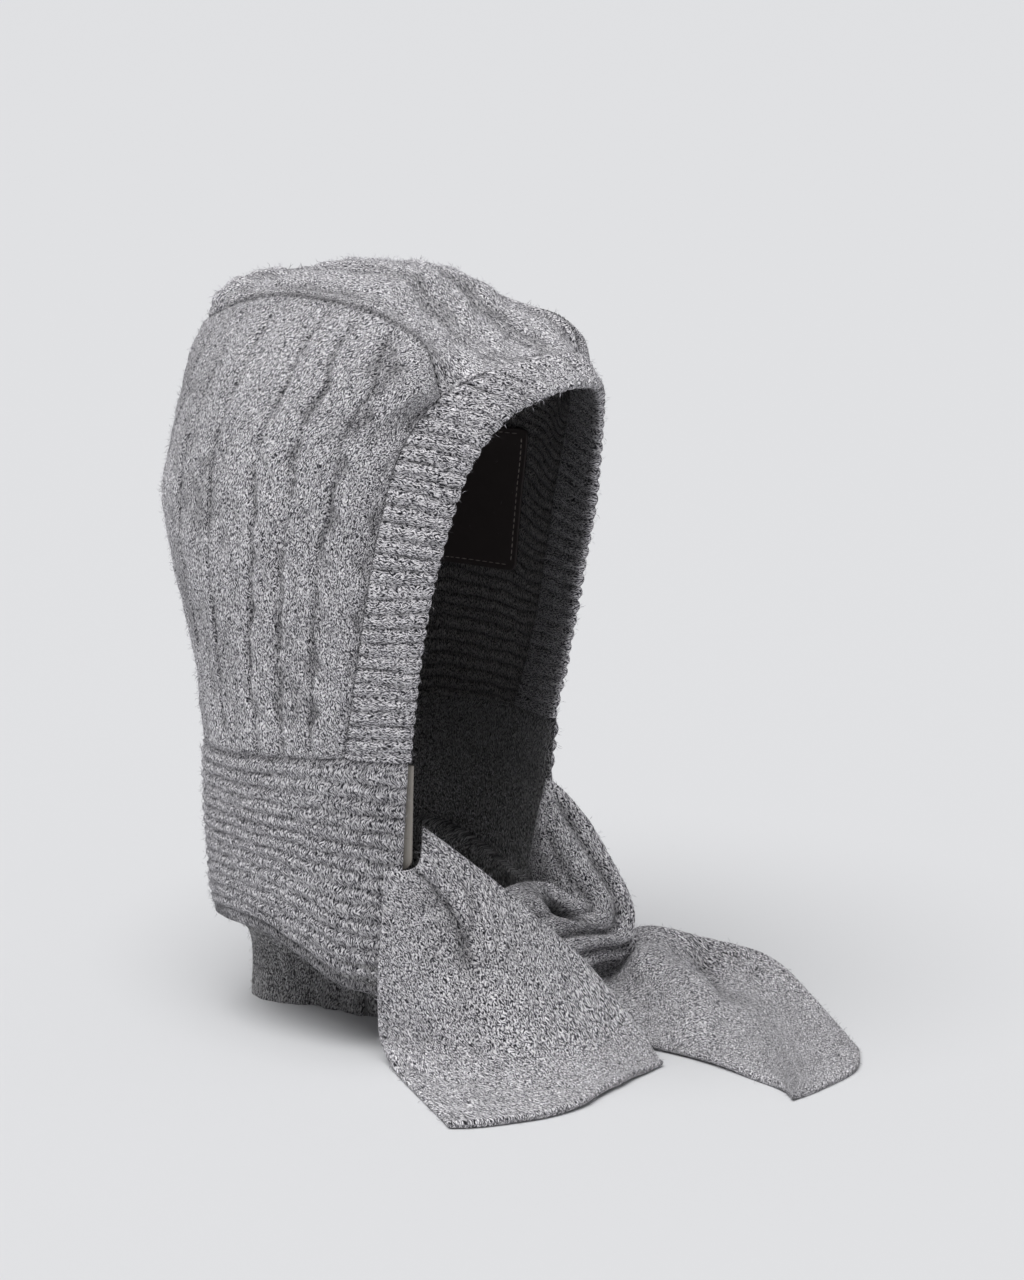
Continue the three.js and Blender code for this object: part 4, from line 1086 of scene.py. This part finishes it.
# The foot's outline, as a radius at each angle round its centre
foot_centre = np.array([FOOT_SHIFT[0] * FOOT_WIDTH, FOOT_SHIFT[1] * FOOT_DEPTH])
ring = np.concatenate([FOOT_PLAN[-3:], FOOT_PLAN, FOOT_PLAN[:3]])
foot_loop = curve(ring, (3 + np.linspace(0, len(FOOT_PLAN), 721)[:-1]) / (len(ring) - 1))
foot_loop = foot_loop * [FOOT_WIDTH / 2, FOOT_DEPTH / 2]
foot_angle = np.arctan2(foot_loop[:, 1], foot_loop[:, 0])
foot_order = np.argsort(foot_angle)
foot_radius = np.linalg.norm(foot_loop, axis=1)[foot_order]
foot_angle = foot_angle[foot_order]


def foot_point(toward, height, inset):
    angle = np.arctan2(toward[:, 1] - foot_centre[1], toward[:, 0] - foot_centre[0])
    radius = np.interp(angle, foot_angle, foot_radius, period=2 * np.pi) - inset
    return points(
        foot_centre[0] + np.cos(angle) * radius,
        foot_centre[1] + np.sin(angle) * radius,
        height,
    )


def under_ring(down, inset):
    """Closed loop inside the collar, with a straight part across its open front"""
    turn = np.linspace(-1, 1, UNDER_COLUMNS - UNDER_FRONT + 1)
    around = 1 - np.abs(turn)
    plain = collar_plain(around, np.full_like(around, down))
    back = moved(plain, collar_direction(plain), np.full_like(around, -KNIT_WALL - LAY_GAP - inset))
    back[:, 0] *= np.where(turn < 0, -1, 1)
    share = np.linspace(0, 1, UNDER_FRONT + 1)[1:-1]
    bow = 4 * share * (1 - share)
    front = mix(back[-1], back[0], share[:, None])
    front[:, 1] -= 6 * bow
    front[:, 2] -= 0.12 * NECK_SEAM_HEIGHT * bow
    return np.concatenate([back, front])


top, low = under_ring(UNDER_TOP, 0), under_ring(1, 1)
knee, sole = foot_point(low, FOOT_HEIGHT, 0), foot_point(low, 0, 0)
share = np.linspace(0, 1, UNDER_ROWS + 1)
outer = curve(np.stack([top, low, knee, sole]), share)
outer[..., 2] = np.maximum(0, outer[..., 2])
toward = np.zeros_like(outer)
toward[..., :2] = unit(foot_centre - outer[..., :2])
count = outer.shape[1]
angle = np.linspace(0, 1, count, endpoint=False)
# Small upright pleats below the collar's fold
pleat = np.cos(angle * 2 * np.pi * 9 + 1.5) * 1.2 + np.cos(angle * 2 * np.pi * 23) * 0.5
zone = rise(share, 0.3, 0.55)
outer = moved(outer, toward, pleat[None, :] * zone[:, None])
# Its inner face swells in soft folds below the head
ring_way, fall = grid(angle * 420, share * 150)
swell = 5 + 5 * uneven(ring_way, fall, 40, 71) + 1.5 * uneven(ring_way, fall, 12, 72)
swell *= (rise(share, 0, 0.08) * (1 - rise(share, 0.35, 0.6)))[:, None]
inner = moved(outer, toward, FOOT_WALL + np.maximum(0, swell))
inner[..., 2] = outer[..., 2]
# Rings of points down its outside and up its inside
loop = np.concatenate([outer, inner[::-2]])
rows, cols = loop.shape[:2]
numbers = np.arange(rows * cols).reshape(rows, cols)
faces = tube_faces(np.concatenate([numbers, numbers[:1]]))
under_place = place_on(outer)
place = np.concatenate([under_place, under_place[::-2]]).reshape(-1, 2) + [0, 2500]
# Painted light and shade on the under layer's inner face: lighter on its upper rows and where the
# folds swell out
inner_painted_shading = (1 + 0.9 * (1 - rise(share, 0.3, 0.6)))[:, None] * (0.7 + 0.06 * swell)
tone = np.concatenate([np.full(outer.shape[:2], UNDER_TONE), inner_painted_shading[::-2]])
under = add_mesh("neck_turn_under_knit", loop.reshape(-1, 3), faces, place, SHADED_INNER_WOOL, tone)
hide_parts("neck_turn_under")
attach(under, "root")
add_fuzz(under, FUZZ_DENSITY, FUZZ_LENGTH, 43, SHADED_INNER_FIBRE)


# Near scarf end: a single sheet of plain marl knit that hangs from the collar's front edge and
# spreads over the floor, with a crease down its upper part and a hem that rolls slightly.
SCARF_WALL = 4.0
RIGHT_SPREAD = 150
RIGHT_REACH = 115
RIGHT_TIE_HEIGHT = 122
SCARF_CREASE = 6.0
# Where the scarf ends leave the collar, out and forward
TIE = (FACE_WIDTH / 2 * 0.9, -COLLAR_DEPTH / 2)
RIGHT_SCARF = np.array([
    # left edge, middle and right edge, each out, forward and up
    [[-0.061, -0.043, 0.836], [0.026, 0.052, 0.852], [0.092, 0.017, 1]],
    [[-0.074, -0.039, 0.672], [0.066, 0.157, 0.721], [0.179, 0.157, 0.869]],
    [[-0.081, -0.052, 0.492], [0.092, 0.261, 0.557], [0.279, 0.287, 0.721]],
    [[-0.084, -0.061, 0.311], [0.092, 0.365, 0.369], [0.359, 0.417, 0.574]],
    [[-0.074, -0.043, 0.066], [0.079, 0.522, 0.148], [0.452, 0.583, 0.393]],
    [[-0.234, 0.278, 0], [0.066, 0.696, 0.049], [0.532, 0.783, 0.131]],
    [[-0.468, 0.757, 0], [0.052, 0.983, 0], [0.479, 0.983, 0]],
])
RIGHT_HEM_BOW = 0.09
RIGHT_LENGTH = 180
RIGHT_COLUMNS = 104
RIGHT_ROWS = 132


def surface(table, across, down):
    """Smooth surface through a table's rows of points"""
    rows = curve(table, down)
    return curve(rows.transpose(1, 0, 2), across).transpose(1, 0, 2)


def sheet_normals(at):
    return unit(np.cross(np.gradient(at, axis=1), np.gradient(at, axis=0)))


def add_scarf(name, at, relief, shade, seed):
    """Sheet of even thickness with rounded borders round a grid of points. relief moves it along its
    normals and shade, in millimetres, is how deep its valleys lie, and darkens them as painted shade"""
    normals = sheet_normals(at)
    at = moved(at, normals, relief)
    step_across = np.linalg.norm(np.diff(at, axis=1), axis=-1)
    step_down = np.linalg.norm(np.diff(at, axis=0), axis=-1)
    run = np.concatenate([np.zeros((at.shape[0], 1)), np.cumsum(step_across, axis=1)], axis=1)
    fall = np.concatenate([np.zeros((1, at.shape[1])), np.cumsum(step_down, axis=0)], axis=0)
    border = np.minimum(np.minimum(run, run[:, -1:] - run), fall)
    border = np.minimum(border, fall[-1:] - fall)
    half = SCARF_WALL / 2 * np.maximum(0.08, border_share(border, 2.2))
    grain = 0.3 * uneven(run, fall, 3.2, seed) + 0.35 * uneven(run, fall, 9, seed + 1)
    thick = half + grain * rise(border, 0.5, 3)
    upper = moved(at, normals, thick)
    lower = moved(at, normals, -thick)
    for skin in (upper, lower):
        skin[..., 2] = np.maximum(0.0, skin[..., 2])
    body, faces = body_between(upper, lower, 1)
    place = place_on(upper).reshape(-1, 2)
    place = np.concatenate([place, place + 4]) + [seed * 37.0, 3500]
    # Painted shade in the valleys and small hollows, much darker in the deepest
    tone = 1.05 * painted_groove_shade(grain * 1.5 - shade) * (1 - 0.6 * rise(shade, 3, 9))
    return add_mesh(name, body, faces, place, WOOL, np.concatenate([tone, tone]))


right_across = rounded_ends(RIGHT_COLUMNS, 105, 2.2)
right_down = rounded_ends(RIGHT_ROWS, RIGHT_LENGTH, 2.2)
across, down = grid(right_across, right_down)
at = surface(RIGHT_SCARF, right_across, right_down)
# The hem bows forward, waves and curls up a little
bow = RIGHT_HEM_BOW * rise(down, 0.75, 1) * np.sin(np.pi * np.minimum(1, across * 1.6))
at = points(
    -TIE[0] + at[..., 0] * RIGHT_SPREAD - bow * RIGHT_SPREAD * 0.35,
    TIE[1] - (at[..., 1] + bow) * RIGHT_REACH,
    np.maximum(SCARF_WALL / 2, at[..., 2] * RIGHT_TIE_HEIGHT),
)
hem_wave = rise(down, 0.93, 1)
at[..., 1] += hem_wave * 1.3 * uneven(across * 120, down, 13, 51)
at[..., 2] += hem_wave * (0.8 + 0.8 * uneven(across * 120, down, 21, 52))
# The crease sinks in below the collar's edge, with painted shade in it, and fades out half way down
middle = curve([0.43, 0.49, 0.5, 0.48, 0.47, 0.46, 0.46, 0.46, 0.46], down)
fade = rise(down, 0.02, 0.22) * (1 - rise(down, 0.36, 0.58))
wide = np.exp(-((across - middle) / 0.12) ** 2) * fade
tight = np.exp(-((across - middle) / 0.03) ** 2) * (1 - rise(down, 0.34, 0.5))
second = np.exp(-((across - middle - 0.22) / 0.07) ** 2) * (1 - rise(down, 0.25, 0.5))
waves = 0.8 * uneven(across * 110, down * RIGHT_LENGTH, 28, 53) * rise(down, 0.05, 0.2)
relief = SCARF_CREASE * wide + 1.6 * tight + 2.0 * second * fade + waves
shade = 1.2 * wide + 1.6 * tight + 0.6 * second
near_scarf = add_scarf("scarf_end_right_knit", at, relief, shade, 54)
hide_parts("scarf_end_right")
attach(near_scarf, "root")
add_fuzz(near_scarf, FUZZ_DENSITY, FUZZ_LENGTH, 59, FIBRE)


# Far scarf end: the same knitted sheet on the other side. It bunches in lengthwise pleats,
# turns across the front of the neck, passes under the near end and comes out as a flap.
LEFT_SPREAD = 100
LEFT_REACH = 198
LEFT_TIE_HEIGHT = 123
PLEAT_DEPTH = 5.0
LEFT_SCARF = np.array([
    # four points across, each out, forward and up
    [[-0.219, 0.027, 0.683], [-0.139, 0.036, 0.943], [-0.019, 0.0268, 1.01], [0.081, 0.021, 0.569]],
    [[-0.229, 0.051, 0.585], [-0.139, 0.096, 0.748], [0.101, 0.081, 0.862], [0.221, 0.071, 0.488]],
    [[-0.219, 0.086, 0.504], [-0.129, 0.131, 0.65], [0.151, 0.152, 0.683], [0.262, 0.111, 0.407]],
    [[-0.179, 0.136, 0.48], [-0.059, 0.182, 0.52], [0.191, 0.212, 0.488], [0.281, 0.162, 0.309]],
    [[-0.329, 0.131, 0.642], [-0.119, 0.192, 0.472], [0.121, 0.227, 0.341], [0.201, 0.202, 0.244]],
    [[-0.558, 0.091, 0.659], [-0.399, 0.162, 0.504], [-0.199, 0.212, 0.358], [-0.019, 0.202, 0.252]],
    [[-0.778, 0.101, 0.585], [-0.698, 0.152, 0.455], [-0.619, 0.192, 0.341], [-0.518, 0.212, 0.228]],
    [[-0.898, 0.121, 0.488], [-0.858, 0.162, 0.374], [-0.818, 0.197, 0.26], [-0.758, 0.222, 0.146]],
    [[-0.978, 0.111, 0.309], [-0.958, 0.152, 0.228], [-0.918, 0.192, 0.146], [-0.858, 0.232, 0.073]],
    [[-0.898, 0.061, 0.114], [-0.878, 0.131, 0.081], [-0.838, 0.212, 0.049], [-0.798, 0.293, 0.024]],
    [[-0.548, 0.02, 0.073], [-0.599, 0.121, 0.065], [-0.658, 0.232, 0.049], [-0.718, 0.354, 0.024]],
    [[-0.149, 0.01, 0.098], [-0.219, 0.131, 0.098], [-0.319, 0.263, 0.081], [-0.498, 0.404, 0.024]],
    [[0.281, 0.081, 0.179], [0.121, 0.192, 0.171], [-0.079, 0.303, 0.13], [-0.339, 0.444, 0.024]],
    [[0.421, 0.167, 0.309], [0.241, 0.263, 0.268], [0.021, 0.364, 0.195], [-0.298, 0.515, 0.016]],
    [[0.702, 0.273, 0.244], [0.551, 0.328, 0.114], [0.121, 0.455, 0.179], [-0.308, 0.646, 0.016]],
    [[0.952, 0.394, 0.146], [0.621, 0.465, 0.057], [0.101, 0.631, 0.081], [-0.359, 0.788, 0.016]],
    [[0.802, 0.611, 0.041], [0.452, 0.667, 0.024], [0.001, 0.783, 0.033], [-0.419, 0.919, 0.016]],
    [[0.322, 0.914, 0.016], [0.061, 0.99, 0.016], [-0.298, 1, 0.016], [-0.518, 0.99, 0.016]],
])
LEFT_WIDTH = 95
LEFT_LENGTH = 450
LEFT_COLUMNS = 84
LEFT_ROWS = 300

left_across = rounded_ends(LEFT_COLUMNS, LEFT_WIDTH, 2.2)
left_down = rounded_ends(LEFT_ROWS, LEFT_LENGTH, 2.2)
across, down = grid(left_across, left_down)
at = surface(LEFT_SCARF, left_across, left_down)
at = points(
    TIE[0] + at[..., 0] * LEFT_SPREAD,
    TIE[1] - at[..., 1] * LEFT_REACH,
    np.maximum(SCARF_WALL / 2, at[..., 2] * LEFT_TIE_HEIGHT),
)
# Its outer edge is drawn in below the collar
at[..., 0] -= 8 * rise(across, 0.35, 1) * (1 - rise(down, 0.12, 0.3))
# Pleats run down the first stretch, with painted shade in their valleys, and a small hole, painted
# dark as shade, is left between two of them
first_stretch = (1 - rise(down, 0.28, 0.36)) * rise(down, 0, 0.05)
pleated = rise(across, 0.22, 0.34) * (1 - rise(across, 0.92, 1)) * first_stretch
lean = across + 0.07 * uneven(down * LEFT_LENGTH, across * 30, 60, 62)
pleat = (0.5 - 0.5 * np.cos((lean - 0.42) * 2 * np.pi * 4.6)) ** 1.8
hole = np.exp(-((across - 0.28) / 0.08) ** 2 - ((down - 0.266) / 0.008) ** 2)
flap = rise(down, 0.75, 0.85)
relief = PLEAT_DEPTH * 0.9 * (pleat - 0.4) * pleated + 14 * hole
waves = uneven(across * LEFT_WIDTH, down * LEFT_LENGTH, 24, 61)
relief += 0.7 * waves * (0.4 + 0.6 * flap)
shade = 2.0 * rise(pleat, 0.4, 1) * pleated + 9 * hole
# Painted shadow on the strip's inner edge, below the collar
shade += 2.2 * (1 - rise(across, 0.1, 0.4)) * (1 - rise(down, 0.12, 0.24))


def bump_at(across_at, down_at, radius_across, radius_down):
    """Soft round hump on the far scarf end, its sizes in millimetres"""
    off_across = (across - across_at) * LEFT_WIDTH / radius_across
    off_down = (down - down_at) * LEFT_LENGTH / radius_down
    return np.exp(-off_across ** 2 - off_down ** 2)


# The flap has a hump, with a ridge behind it and a trough in front that holds painted shade
relief += 5 * bump_at(0.48, 0.755, 14, 15) + 4 * bump_at(0.62, 0.81, 9, 16)
trough = np.exp(-((down - mix(0.8, 0.888, across)) * LEFT_LENGTH / 7) ** 2)
trough *= rise(across, 0.1, 0.3)
trough *= 1 - rise(across, 0.5, 0.7)
relief -= 3.2 * trough
shade += 1.3 * trough
far_scarf = add_scarf("scarf_end_left_knit", at, relief, shade, 64)
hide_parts("scarf_end_left")
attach(far_scarf, "root")
add_fuzz(far_scarf, FUZZ_DENSITY, FUZZ_LENGTH, 67, FIBRE)


# Inner patch: a smooth dark leather-like rectangle inside the far wall of the hood, sewn on
# with a border of small stitches in a sunken line.
PATCH_WIDTH = 80
PATCH_HEIGHT = 78
PATCH_WALL = 1.4
PATCH_SEAT = 0.9
PATCH_CENTRE_HEIGHT = 266
PATCH_SET_BACK = 63
PATCH_LEAN = 12
PATCH_CORNER = 4.0
PATCH_BORDER = 3.0
STITCH_PITCH = 3.4
STITCH_LENGTH = 2.4
STITCH_WIDTH = 0.7
PATCH_STEPS = 48


def patch_point(across, up, depth):
    height = PATCH_CENTRE_HEIGHT + up
    along = PATCH_SET_BACK + across + up / PATCH_HEIGHT * PATCH_LEAN
    around = along / ((HOOD_WIDTH + HOOD_DEPTH) * 0.45)
    low = neck_seam_level(around)
    share = (height - low) / (crease_point(around)[..., 2] - low)
    at = side_plain(around, share)
    return moved(at, wall_direction(at), -KNIT_WALL - PATCH_SEAT - depth)


def patch_material():
    material = bpy.data.materials.new("dark patch")
    material.use_nodes = True
    tree = material.node_tree
    shader = tree.nodes["Principled BSDF"]
    shader.inputs["Base Color"].default_value = (0.06, 0.051, 0.05, 1)
    shader.inputs["Roughness"].default_value = 0.45
    shader.inputs["Specular IOR Level"].default_value = 0.25
    where = tree.nodes.new("ShaderNodeUVMap")
    where.uv_map = "knit"
    pebbles = noise(tree, where.outputs[0], 900.0, 3.0, 0.6)
    bump = tree.nodes.new("ShaderNodeBump")
    bump.inputs["Strength"].default_value = 0.25
    bump.inputs["Distance"].default_value = 0.0004
    tree.links.new(pebbles, bump.inputs["Height"])
    tree.links.new(bump.outputs[0], shader.inputs["Normal"])
    return material


def rounded_square(share_x, share_y, width, height, corner):
    """Square grid pushed in at its four corners"""
    x, y = share_x * width / 2, share_y * height / 2
    out_x = np.abs(x) - (width / 2 - corner)
    out_y = np.abs(y) - (height / 2 - corner)
    far = np.hypot(np.maximum(0, out_x), np.maximum(0, out_y))
    square = np.maximum(np.maximum(0, out_x), np.maximum(0, out_y))
    pull = np.where(far > 0, square / np.maximum(far, 1e-6), 1)
    x = np.where(out_x > 0, np.sign(x) * (width / 2 - corner + out_x * pull), x)
    y = np.where(out_y > 0, np.sign(y) * (height / 2 - corner + out_y * pull), y)
    return x, y


steps = rounded_ends(PATCH_STEPS, PATCH_WIDTH, 1.0) * 2 - 1
share_x, share_y = grid(steps, steps)
x, y = rounded_square(share_x, share_y, PATCH_WIDTH, PATCH_HEIGHT, PATCH_CORNER)
inset = np.minimum(
    (1 - np.abs(share_x)) * PATCH_WIDTH / 2,
    (1 - np.abs(share_y)) * PATCH_HEIGHT / 2,
)
sunk = 0.35 * np.exp(-((inset - PATCH_BORDER) / 0.7) ** 2)
edge_round = border_share(inset, 0.7)
shown = patch_point(x, y, PATCH_WALL / 2 * (1 + edge_round) - sunk)
hidden = patch_point(x, y, PATCH_WALL / 2 * (1 - edge_round))
at, faces = body_between(shown, hidden, 1)
place = both_faces(np.stack([x, y], axis=-1))
patch = add_mesh("inner_patch_skin", at, faces, place, patch_material())
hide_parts("inner_patch")
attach(patch, "root")
# Each stitch is a short raised thread, thinner at its ends, in the sunken line
thread_at, thread_faces, thread_place = [], [], []
half_x, half_y = PATCH_WIDTH / 2 - PATCH_BORDER, PATCH_HEIGHT / 2 - PATCH_BORDER
runs = []
for sign in (-1, 1):
    for k in np.arange(-half_y + 2.6, half_y - 2.4, STITCH_PITCH):
        runs.append((sign * half_x, k, 0, 1))
    for k in np.arange(-half_x + 2.6, half_x - 2.4, STITCH_PITCH):
        runs.append((k, sign * half_y, 1, 0))
for x0, y0, dx, dy in runs:
    first = len(thread_at)
    for t in (0.0, 0.25, 0.5, 0.75, 1.0):
        swell = math.sin(math.pi * min(0.92, max(0.08, t)))
        for side, lift in ((-1, 0.0), (0, 1.0), (1, 0.0)):
            px = x0 + dx * t * STITCH_LENGTH + dy * side * STITCH_WIDTH / 2 * (0.5 + swell / 2)
            py = y0 + dy * t * STITCH_LENGTH + dx * side * STITCH_WIDTH / 2 * (0.5 + swell / 2)
            deep = PATCH_WALL - 0.35 + 0.4 * lift * swell
            thread_at.append(patch_point(np.array([px]), np.array([py]), np.array([deep]))[0])
            thread_place.append((px, py))
    for k in range(4):
        a = first + 3 * k
        thread_faces += [(a, a + 3, a + 4, a + 1), (a + 1, a + 4, a + 5, a + 2)]
        thread_faces.append((a + 2, a + 5, a + 3, a))
    thread_faces += [(first, first + 1, first + 2), (first + 14, first + 13, first + 12)]
THREAD = bpy.data.materials.new("dark thread")
THREAD.use_nodes = True
shader = THREAD.node_tree.nodes["Principled BSDF"]
shader.inputs["Base Color"].default_value = (0.36, 0.32, 0.30, 1)
shader.inputs["Roughness"].default_value = 0.6
stitches = add_mesh("inner_patch_stitches", thread_at, thread_faces, thread_place, THREAD)
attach(stitches, "root")


# Edge tab: a narrow strip of pale tape sewn inside the near front edge of the collar, with a
# rounded lower end that hangs free.
TAB_LENGTH = 57
TAB_WIDTH = 13
TAB_SHOW = 3
TAB_WALL = 1.6
TAB_DROP = 2
TAB_ROWS = 60
TAB_COLUMNS = 14

share = np.linspace(0, 1, TAB_ROWS + 1)
height = EDGE_POINTS[0, 2] - TAB_DROP - TAB_LENGTH * (1 - share)
fold_height = COLLAR_PLAN[0, 5] * NECK_SEAM_HEIGHT
down = (EDGE_POINTS[0, 2] - height) / (EDGE_POINTS[0, 2] - fold_height)
front = collar_plain(np.zeros_like(down), down)
behind = collar_plain(np.full_like(down, COLLAR_FRONT), down)
forward = front - behind
forward[:, 2] = 0
forward = unit(forward)
inward = points(forward[:, 1], -forward[:, 0], 0)
low_end = np.sqrt(1 - (1 - np.minimum(1, share * TAB_LENGTH / (TAB_WIDTH / 2))) ** 2)
half = TAB_WIDTH / 2 * np.maximum(0.06, low_end)
# It shows past the collar's edge, most at its lower end
middle = moved(front, forward, TAB_SHOW * (1 - 0.8 * share) - TAB_WIDTH / 2)
columns = np.linspace(-1, 1, TAB_COLUMNS + 1)
skins = []
for deep in (0.0, TAB_WALL):
    skin = middle[:, None, :] + forward[:, None, :] * (half[:, None] * columns)[..., None]
    bulge = 0.25 * (1 - np.abs(columns) ** 6)
    offset = KNIT_WALL + LAY_GAP + deep + (bulge if deep else 0.25 - bulge) - 0.125
    skin = skin + inward[:, None, :] * (offset * np.ones((TAB_ROWS + 1, 1)))[..., None]
    skin[..., 0] *= -1
    skins.append(skin)
at, faces = body_between(skins[0], skins[1], 1)
place = both_faces(place_on(skins[0]))
TAPE = bpy.data.materials.new("pale tape")
TAPE.use_nodes = True
tree = TAPE.node_tree
shader = tree.nodes["Principled BSDF"]
shader.inputs["Base Color"].default_value = (0.36, 0.335, 0.30, 1)
shader.inputs["Roughness"].default_value = 0.75
tape_place = tree.nodes.new("ShaderNodeUVMap")
tape_place.uv_map = "knit"
weave = noise(tree, tape_place.outputs[0], 1400.0, 2.0, 0.5)
bump = tree.nodes.new("ShaderNodeBump")
bump.inputs["Strength"].default_value = 0.4
bump.inputs["Distance"].default_value = 0.0003
tree.links.new(weave, bump.inputs["Height"])
tree.links.new(bump.outputs[0], shader.inputs["Normal"])
tab = add_mesh("edge_tab_tape", at, faces, place, TAPE)
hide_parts("edge_tab")
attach(tab, "root")

# The single fibre has been strewn over every knitted piece and isn't needed any more
bpy.data.objects.remove(ONE_FIBRE)


# Floor, light and camera: a pale seamless floor under soft light from above and the left.
FLOOR = bpy.data.materials.new("pale floor")
FLOOR.use_nodes = True
shader = FLOOR.node_tree.nodes["Principled BSDF"]
shader.inputs["Base Color"].default_value = (0.705, 0.71, 0.722, 1)
shader.inputs["Roughness"].default_value = 0.9
shader.inputs["Specular IOR Level"].default_value = 0.1
floor_mesh = bpy.data.meshes.new("floor")
floor_mesh.from_pydata([(-30, -30, 0), (30, -30, 0), (30, 30, 0), (-30, 30, 0)], [], [(0, 1, 2, 3)])
floor_mesh.materials.append(FLOOR)
floor = in_scene("floor", floor_mesh)

world = bpy.data.worlds.new("studio")
world.use_nodes = True
sky = world.node_tree.nodes["Background"]
sky.inputs["Color"].default_value = (1.0, 1.0, 1.02, 1)
sky.inputs["Strength"].default_value = 0.3
bpy.context.scene.world = world

light = bpy.data.lights.new("softbox", "SUN")
light.energy = 2.6
light.angle = math.radians(50)
sun = in_scene("softbox", light)
sun.rotation_mode = "QUATERNION"
sun.rotation_quaternion = Vector((0.36, -0.02, -0.95)).to_track_quat("-Z", "Y")

CAMERA_AZIMUTH = math.radians(-52)
CAMERA_HEIGHT = math.radians(13)
CAMERA_DISTANCE = 2.2
CAMERA_TARGET = Vector((0.03766, 0.02045, 0.200))
back = Vector((
    math.sin(CAMERA_AZIMUTH) * math.cos(CAMERA_HEIGHT),
    -math.cos(CAMERA_AZIMUTH) * math.cos(CAMERA_HEIGHT),
    math.sin(CAMERA_HEIGHT),
))
camera_data = bpy.data.cameras.new("camera")
camera_data.lens = 117
camera_data.sensor_width = 36
camera = in_scene("camera", camera_data)
camera.rotation_mode = "QUATERNION"
camera.location = CAMERA_TARGET + back * CAMERA_DISTANCE
camera.rotation_quaternion = (-back).to_track_quat("-Z", "Y")
bpy.context.scene.camera = camera
bpy.context.scene.view_settings.view_transform = "Standard"
